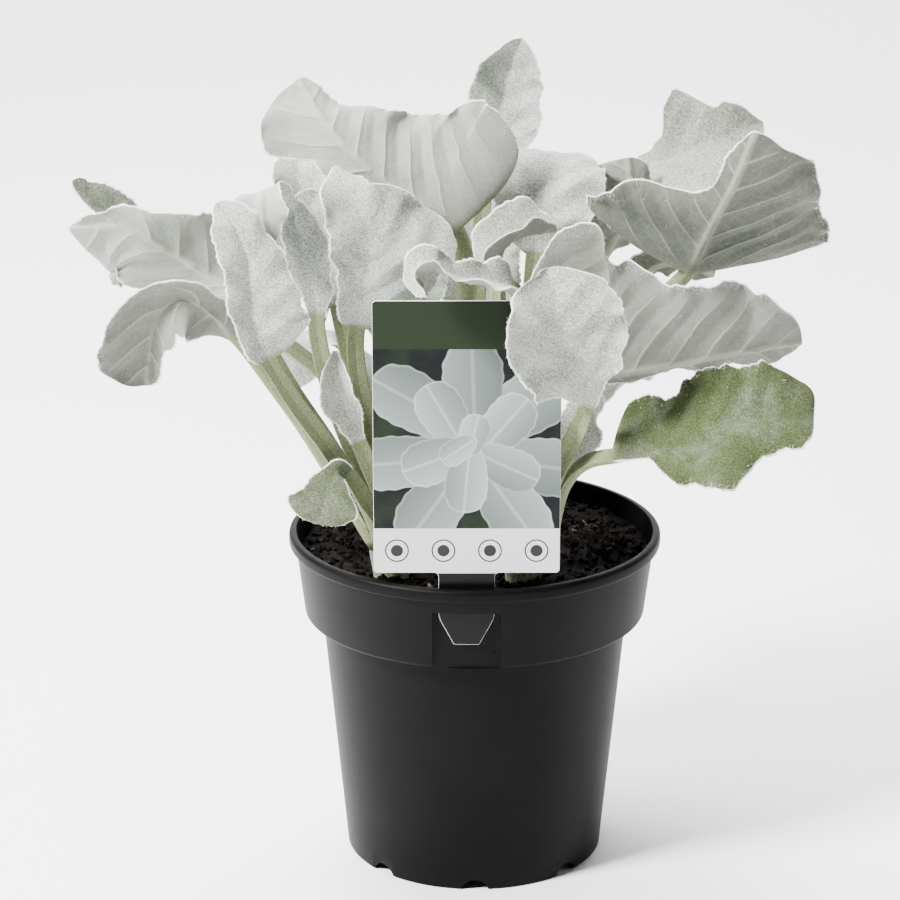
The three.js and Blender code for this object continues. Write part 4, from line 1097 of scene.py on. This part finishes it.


# The upper side is speckled where green shows between the tufts of white felt. The underside is smoother,
# with paler raised veins over a faint net, and is painted lighter on lit leaves and darker on shaded ones:
# painted light and shade. The margin is a white line of painted highlight.
def leaf_material():
    material, tree, shader = new_material("silver_felt")
    nap = add_node(tree, "ShaderNodeGroup", node_tree=felt_nap)
    nap.inputs["Tuft Size"].default_value = 1250.0
    under, margin, run, green, pale = (
        add_node(tree, "ShaderNodeAttribute", attribute_name=key).outputs["Fac"]
        for key in ("underside", "margin", "blade_run", "greenness", "underside_lighting")
    )
    flat_map = add_node(tree, "ShaderNodeUVMap", uv_map="flattened_leaf").outputs[0]
    waver = add_node(tree, "ShaderNodeTexNoise", {"Vector": flat_map, "Scale": 60.0, "Detail": 2.0})
    waver_sockets = {0: waver.outputs["Color"], 1: (0.5, 0.5, 0.5)}
    waver = add_node(tree, "ShaderNodeVectorMath", waver_sockets, operation="SUBTRACT")
    waver_sockets = {0: waver.outputs[0], 1: (0.002, 0.003, 0), 2: flat_map}
    waver = add_node(tree, "ShaderNodeVectorMath", waver_sockets, operation="MULTIPLY_ADD")
    flat = add_node(tree, "ShaderNodeSeparateXYZ", {0: waver.outputs[0]})
    reach = maths(tree, "ABSOLUTE", flat.outputs[0])
    lean = maths(tree, "MULTIPLY_ADD", reach, -VEIN_SLOPE, flat.outputs[1])
    bend = maths(tree, "MULTIPLY_ADD", maths(tree, "MULTIPLY", reach, reach), -VEIN_CURVE, lean)
    left_side = maths(tree, "LESS_THAN", flat.outputs[0], 0.0)
    course = maths(tree, "MULTIPLY_ADD", left_side, VEIN_PITCH / 2, bend)
    away = maths(tree, "PINGPONG", course, VEIN_PITCH / 2)
    side_vein = maths(tree, "SUBTRACT", 1.0, soft_step(tree, away, 0.0001, 0.0012))
    rib = maths(tree, "SUBTRACT", 1.0, soft_step(tree, reach, 0.0008, 0.0026))
    net_sockets = {"Vector": flat_map, "Scale": 190.0}
    net = add_node(tree, "ShaderNodeTexVoronoi", net_sockets, feature="DISTANCE_TO_EDGE")
    net = maths(tree, "SUBTRACT", 1.0, soft_step(tree, net.outputs["Distance"], 0.0, 0.10))
    on_blade = soft_step(tree, run, 0.02, 0.16)
    fading = maths(tree, "SUBTRACT", 1.0, soft_step(tree, margin, 0.45, 0.95))
    side_vein = maths(tree, "MULTIPLY", side_vein, fading)
    veins = maths(tree, "MULTIPLY", maths(tree, "MAXIMUM", side_vein, rib), on_blade)
    veins = maths(tree, "MULTIPLY_ADD", net, 0.22, veins)
    tufts = maths(tree, "MULTIPLY_ADD", nap.outputs["Patches"], 0.35, nap.outputs["Speckle"])
    tufts = soft_step(tree, tufts, 0.15, 1.1)
    upper = blend_colour(tree, tufts, *SILVER_TUFTS)
    bald = blend_colour(tree, nap.outputs["Speckle"], *BALD_GREEN)
    bare_here = soft_step(tree, nap.outputs["Patches"], -2.0, 0.7)
    upper = blend_colour(tree, maths(tree, "MULTIPLY", green, bare_here), upper, bald)
    soft_tufts = maths(tree, "MULTIPLY", nap.outputs["Patches"], 0.5)
    soft_tufts = maths(tree, "MULTIPLY_ADD", nap.outputs["Speckle"], 0.5, soft_tufts)
    # The underside mixes a shaded and a lit tone by each leaf's share: painted light and shade.
    shaded_lower = blend_colour(tree, soft_tufts, *SHADED_UNDERSIDE)
    lit_lower = blend_colour(tree, soft_tufts, *LIT_UNDERSIDE)
    lower = blend_colour(tree, pale, shaded_lower, lit_lower)
    lower = blend_colour(tree, maths(tree, "MULTIPLY", veins, 0.42), lower, VEIN_GREEN)
    felt = blend_colour(tree, under, upper, lower)
    stalk = blend_colour(tree, nap.outputs["Speckle"], *STALK_GREEN)
    felt = blend_colour(tree, soft_step(tree, run, 0.0, 0.05), stalk, felt)
    # A white line is painted along the margin: a painted highlight where the edge catches light.
    true_flat = add_node(tree, "ShaderNodeSeparateXYZ", {0: flat_map})
    flat_reach = maths(tree, "ABSOLUTE", true_flat.outputs[0])
    from_edge = maths(tree, "SUBTRACT", maths(tree, "DIVIDE", flat_reach, margin), flat_reach)
    rim = maths(tree, "SUBTRACT", 1.0, soft_step(tree, from_edge, 0.0001, 0.0006))
    rim = maths(tree, "MULTIPLY", rim, soft_step(tree, run, 0.01, 0.06))
    tree.links.new(blend_colour(tree, rim, felt, MARGIN_HIGHLIGHT_WHITE), shader.inputs["Base Color"])
    shader.inputs["Roughness"].default_value = 0.92
    shader.inputs["Sheen Weight"].default_value = 0.08
    shader.inputs["Sheen Roughness"].default_value = 0.55
    shader.inputs["Specular IOR Level"].default_value = 0.2
    vein_rise = maths(tree, "MULTIPLY", under, 0.8)
    height = maths(tree, "MULTIPLY_ADD", veins, vein_rise, nap.outputs["Height"])
    bump = add_node(tree, "ShaderNodeBump", {"Height": height, "Strength": 0.6, "Distance": 0.0005})
    tree.links.new(bump.outputs[0], shader.inputs["Normal"])
    return material


leaf_look = leaf_material()
leaf_pieces = []
for number, (name, leaf) in enumerate(LEAVES.items()):
    piece = leaf_mesh(f"{name}_leaf", leaf, number)
    piece.data.materials.append(leaf_look)
    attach(piece, "root")
    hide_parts(f"leaf_{name}")
    leaf_pieces.append(piece)


# Loose white hairs stand out of the felt along every margin and, more thinly, over both sides.
def down_tree():
    inputs = {
        "Surface": ("Geometry", None),
        "Hair Length": ("Float", 0.0012),
        "Hair Width": ("Float", 0.00007),
        "Hairs per Square Metre": ("Float", 100000.0),
        "Margin Share": ("Float", 0.9),
        "Seed": ("Int", 1),
        "Material": ("Material", None),
    }
    group, given, result = new_group("leaf_down", "GeometryNodeTree", inputs, {"Hairs": "Geometry"})
    margin, blade = (
        add_node(group, "GeometryNodeInputNamedAttribute", {"Name": key}, data_type="FLOAT").outputs[0]
        for key in ("margin", "blade_run")
    )
    near_edge = soft_step(group, margin, 0.90, 0.98)
    edge = maths(group, "MULTIPLY", near_edge, soft_step(group, blade, 0.02, 0.06))
    share = maths(group, "MULTIPLY", edge, given["Margin Share"])
    even = maths(group, "SUBTRACT", 1.0, given["Margin Share"])
    share = maths(group, "ADD", share, even)
    density = maths(group, "MULTIPLY", share, given["Hairs per Square Metre"])
    roots = add_node(
        group,
        "GeometryNodeDistributePointsOnFaces",
        {"Mesh": given["Surface"], "Density": density, "Seed": given["Seed"]},
        distribute_method="RANDOM",
    )
    hair = add_node(
        group,
        "GeometryNodeMeshCone",
        {"Vertices": 3, "Radius Top": 0.1, "Radius Bottom": 1.0, "Depth": 1.0},
        fill_type="NONE",
    )
    seed = {"Seed": given["Seed"]}
    lean = add_node(group, "FunctionNodeRandomValue", seed, data_type="FLOAT_VECTOR")
    lean.inputs[0].default_value = (-1.1, -1.1, 0)
    lean.inputs[1].default_value = (1.1, 1.1, 6.28)
    leaning = add_node(group, "FunctionNodeEulerToRotation", {0: lean.outputs[0]})
    way = add_node(
        group,
        "FunctionNodeRotateRotation",
        {"Rotation": roots.outputs["Rotation"], "Rotate By": leaning.outputs[0]},
        rotation_space="LOCAL",
    )
    part = add_node(group, "FunctionNodeRandomValue", seed, data_type="FLOAT")
    part.inputs[2].default_value = 0.5
    part.inputs[3].default_value = 1.3
    tall = maths(group, "MULTIPLY", part.outputs[1], given["Hair Length"])
    size_sockets = {0: given["Hair Width"], 1: given["Hair Width"], 2: tall}
    size = add_node(group, "ShaderNodeCombineXYZ", size_sockets)
    standing = add_node(
        group,
        "GeometryNodeInstanceOnPoints",
        {
            "Points": roots.outputs["Points"],
            "Instance": hair.outputs["Mesh"],
            "Rotation": way.outputs[0],
            "Scale": size.outputs[0],
        },
    )
    real = add_node(group, "GeometryNodeRealizeInstances", {0: standing.outputs[0]})
    finish = {"Geometry": real.outputs[0], "Material": given["Material"]}
    coloured = add_node(group, "GeometryNodeSetMaterial", finish)
    group.links.new(coloured.outputs[0], result[0])
    return group


down_look, tree, shader = new_material("white_down")
shader.inputs["Base Color"].default_value = DOWN_WHITE
shader.inputs["Roughness"].default_value = 0.9
coat = bmesh.new()
for piece in leaf_pieces:
    coat.from_mesh(piece.data)
skin = bpy.data.meshes.new("leaf_skin")
coat.to_mesh(skin)
coat.free()
down = bpy.data.objects.new("leaf_skin", skin)
values = {
    "Hairs per Square Metre": 900000.0,
    "Margin Share": 0.992,
    "Seed": 5,
    "Material": down_look,
}
down = grown_by("leaf_hairs", down, down_tree(), values)
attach(down, "root")

# The care tag is a thin printed card, pushed by its tail into the slot in the pot's rim. The print is a
# plain one: a green band, a rosette of pale leaves on slate, a white strip with four spots, a black tail.
TAG_LOW, TAG_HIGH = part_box("care_tag")
TAG_HALF_WIDTH = (TAG_HIGH[0] - TAG_LOW[0]) / 2
CARD_BOTTOM = 0.178
NECK_HALF_WIDTH = 0.0135
TAIL_SHOULDER = 0.155
BAND_HEIGHT = 0.0235
STRIP_HEIGHT = 0.0225
SPOT_RADIUS = 0.0054
SPOT_LINE = 0.00035
CARD_WHITE = (0.80, 0.80, 0.78, 1)
SLATE_INK = ((0.004, 0.005, 0.006, 1), (0.010, 0.016, 0.008, 1))
LEAF_INK_DEEP = (0.035, 0.048, 0.045)
LEAF_INK_PALE = (0.42, 0.48, 0.46)
STRIP_WHITE = (0.52, 0.54, 0.53, 1)
SPOT_GREY = (0.02, 0.02, 0.02, 1)
BAND_GREEN = (0.011, 0.018, 0.008, 1)
TAIL_BLACK = (0.003, 0.003, 0.003, 1)

# Each printed leaf has its middle's place, the turn of its midrib in degrees, half-sizes and a tone.
PRINTED_LEAVES = [
    (-0.022, 0.262, 150, 0.027, 0.014, 0.55), (0.028, 0.262, 35, 0.028, 0.015, 0.6),
    (0.003, 0.270, 92, 0.024, 0.014, 0.5), (-0.029, 0.234, 186, 0.026, 0.013, 0.62),
    (0.034, 0.232, -8, 0.024, 0.014, 0.52), (-0.014, 0.214, 235, 0.026, 0.014, 0.6),
    (0.020, 0.213, 305, 0.027, 0.014, 0.66), (-0.010, 0.256, 120, 0.019, 0.011, 0.74),
    (0.017, 0.251, 50, 0.019, 0.011, 0.8), (-0.014, 0.235, 200, 0.018, 0.011, 0.78),
    (0.018, 0.232, -25, 0.018, 0.010, 0.72), (0.000, 0.226, 265, 0.018, 0.010, 0.82),
    (0.003, 0.247, 75, 0.011, 0.007, 0.92), (-0.004, 0.240, 215, 0.010, 0.006, 0.9),
]

half_outline = [
    (0, TAG_HIGH[2], 0),
    (TAG_HALF_WIDTH, TAG_HIGH[2], 0.002),
    (TAG_HALF_WIDTH, CARD_BOTTOM, 0.002),
    (NECK_HALF_WIDTH, CARD_BOTTOM, 0.002),
    (NECK_HALF_WIDTH, TAIL_SHOULDER, 0.012),
    (NECK_HALF_WIDTH * 0.45, TAG_LOW[2], 0.001),
    (0, TAG_LOW[2], 0),
]
half_outline = rounded_profile(half_outline)
outline = half_outline + [(-x, z) for x, z in reversed(half_outline[1:-1])]
front = [(TAG_CENTRE_X + x, TAG_LOW[1], z) for x, z in outline]
back = [(x, TAG_HIGH[1], z) for x, y, z in front]
count = len(outline)
sides = [(k, count + k, count + (k + 1) % count, (k + 1) % count) for k in range(count)]
card = new_object(
    "printed_tag",
    front + back,
    [tuple(range(count)), tuple(range(count, 2 * count))[::-1]] + sides,
    smooth=False,
)
card.data.polygons[0].material_index = 1
soft = card.modifiers.new("cut_edge", "BEVEL")
soft.width = 0.00012
soft.limit_method = "ANGLE"
soft.angle_limit = math.radians(60)
soft.material = 0


# One printed leaf: an oval with a crimped edge, a pale midrib and a soft shade across it.
def printed_leaf_group():
    titles = ("Across", "Up", "Centre Across", "Centre Up", "Turn", "Length", "Width")
    inputs = {title: ("Float", 0.0) for title in titles}
    outputs = {"Mask": "Float", "Shade": "Float"}
    group, given, result = new_group("printed_leaf", "ShaderNodeTree", inputs, outputs)
    x = maths(group, "SUBTRACT", given["Across"], given["Centre Across"])
    y = maths(group, "SUBTRACT", given["Up"], given["Centre Up"])
    cosine = maths(group, "COSINE", given["Turn"])
    sine = maths(group, "SINE", given["Turn"])
    forward = maths(group, "MULTIPLY_ADD", x, cosine, maths(group, "MULTIPLY", y, sine))
    x_part = maths(group, "MULTIPLY", x, sine)
    sideways = maths(group, "SUBTRACT", maths(group, "MULTIPLY", y, cosine), x_part)
    forward = maths(group, "DIVIDE", forward, given["Length"])
    sideways = maths(group, "DIVIDE", sideways, given["Width"])
    round_part = maths(group, "POWER", maths(group, "ABSOLUTE", forward), 2.6)
    narrow = maths(group, "MULTIPLY_ADD", forward, 0.22, 1.0)
    from_rib = maths(group, "ABSOLUTE", maths(group, "DIVIDE", sideways, narrow))
    flat_part = maths(group, "POWER", from_rib, 2.0)
    crimp = maths(group, "SINE", maths(group, "MULTIPLY", forward, 21.0))
    crimp = maths(group, "MULTIPLY", crimp, 0.035)
    rim = maths(group, "ADD", maths(group, "ADD", round_part, flat_part), crimp)
    mask = maths(group, "SUBTRACT", 1.0, soft_step(group, rim, 0.95, 1.02))
    group.links.new(mask, result["Mask"])
    off_rib = soft_step(group, maths(group, "ABSOLUTE", sideways), 0.02, 0.10)
    rib = maths(group, "SUBTRACT", 1.0, off_rib)
    edge = soft_step(group, rim, 0.82, 0.95)
    shade = maths(group, "MULTIPLY_ADD", rib, 0.3, 0.55)
    shade = maths(group, "MULTIPLY_ADD", sideways, 0.22, shade)
    group.links.new(maths(group, "MULTIPLY_ADD", edge, 0.35, shade), result["Shade"])
    return group


printed_leaf = printed_leaf_group()
card_look, tree, shader = new_material("white_card")
shader.inputs["Base Color"].default_value = CARD_WHITE
shader.inputs["Roughness"].default_value = 0.5
print_look, tree, shader = new_material("glossy_print")
place = add_node(tree, "ShaderNodeTexCoord").outputs["Object"]
on_card = add_node(tree, "ShaderNodeSeparateXYZ", {0: place})
across = maths(tree, "SUBTRACT", on_card.outputs[0], TAG_CENTRE_X)
up = on_card.outputs[2]
blotches = add_node(tree, "ShaderNodeTexNoise", {"Vector": place, "Scale": 55.0, "Detail": 3.0})
ink = blend_colour(tree, soft_step(tree, blotches.outputs[0], 0.4, 0.7), *SLATE_INK)
for x, z, turn, length, width, tone in PRINTED_LEAVES:
    leaf = add_node(tree, "ShaderNodeGroup", node_tree=printed_leaf)
    tree.links.new(across, leaf.inputs["Across"])
    tree.links.new(up, leaf.inputs["Up"])
    leaf.inputs["Centre Across"].default_value = x
    leaf.inputs["Centre Up"].default_value = z
    leaf.inputs["Turn"].default_value = math.radians(turn)
    leaf.inputs["Length"].default_value = length
    leaf.inputs["Width"].default_value = width
    deep = (*(tone * channel for channel in LEAF_INK_DEEP), 1)
    pale = (*(tone * channel for channel in LEAF_INK_PALE), 1)
    leaf_ink = blend_colour(tree, leaf.outputs["Shade"], deep, pale)
    ink = blend_colour(tree, leaf.outputs["Mask"], ink, leaf_ink)
strip = maths(tree, "LESS_THAN", up, CARD_BOTTOM + STRIP_HEIGHT)
ink = blend_colour(tree, strip, ink, STRIP_WHITE)
spot_pitch = TAG_HALF_WIDTH / 2
along_strip = maths(tree, "PINGPONG", across, spot_pitch / 2)
from_spot = maths(tree, "SUBTRACT", spot_pitch / 2, along_strip)
from_row = maths(tree, "SUBTRACT", up, CARD_BOTTOM + STRIP_HEIGHT / 2)
far = add_node(tree, "ShaderNodeCombineXYZ", {0: from_spot, 1: from_row})
far = add_node(tree, "ShaderNodeVectorMath", {0: far.outputs[0]}, operation="LENGTH").outputs["Value"]
from_ring = maths(tree, "ABSOLUTE", maths(tree, "SUBTRACT", far, SPOT_RADIUS))
ring = maths(tree, "LESS_THAN", from_ring, SPOT_LINE)
disc = maths(tree, "LESS_THAN", far, SPOT_RADIUS * 0.55)
spots = maths(tree, "MULTIPLY", maths(tree, "MAXIMUM", ring, disc), strip)
ink = blend_colour(tree, spots, ink, SPOT_GREY)
band = maths(tree, "GREATER_THAN", up, TAG_HIGH[2] - BAND_HEIGHT)
ink = blend_colour(tree, band, ink, BAND_GREEN)
tail = maths(tree, "LESS_THAN", up, CARD_BOTTOM - 0.0003)
ink = blend_colour(tree, tail, ink, TAIL_BLACK)
tree.links.new(ink, shader.inputs["Base Color"])
wear = add_node(tree, "ShaderNodeGroup", node_tree=plastic_wear)
wear.inputs["Grain Size"].default_value = 300.0
gloss = maths(tree, "MULTIPLY_ADD", wear.outputs["Dust"], 0.12, 0.30)
tree.links.new(gloss, shader.inputs["Roughness"])
shader.inputs["Specular IOR Level"].default_value = 0.1
card.data.materials.append(card_look)
card.data.materials.append(print_look)
apply_modifiers(card)
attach(card, "root")
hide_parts("care_tag")
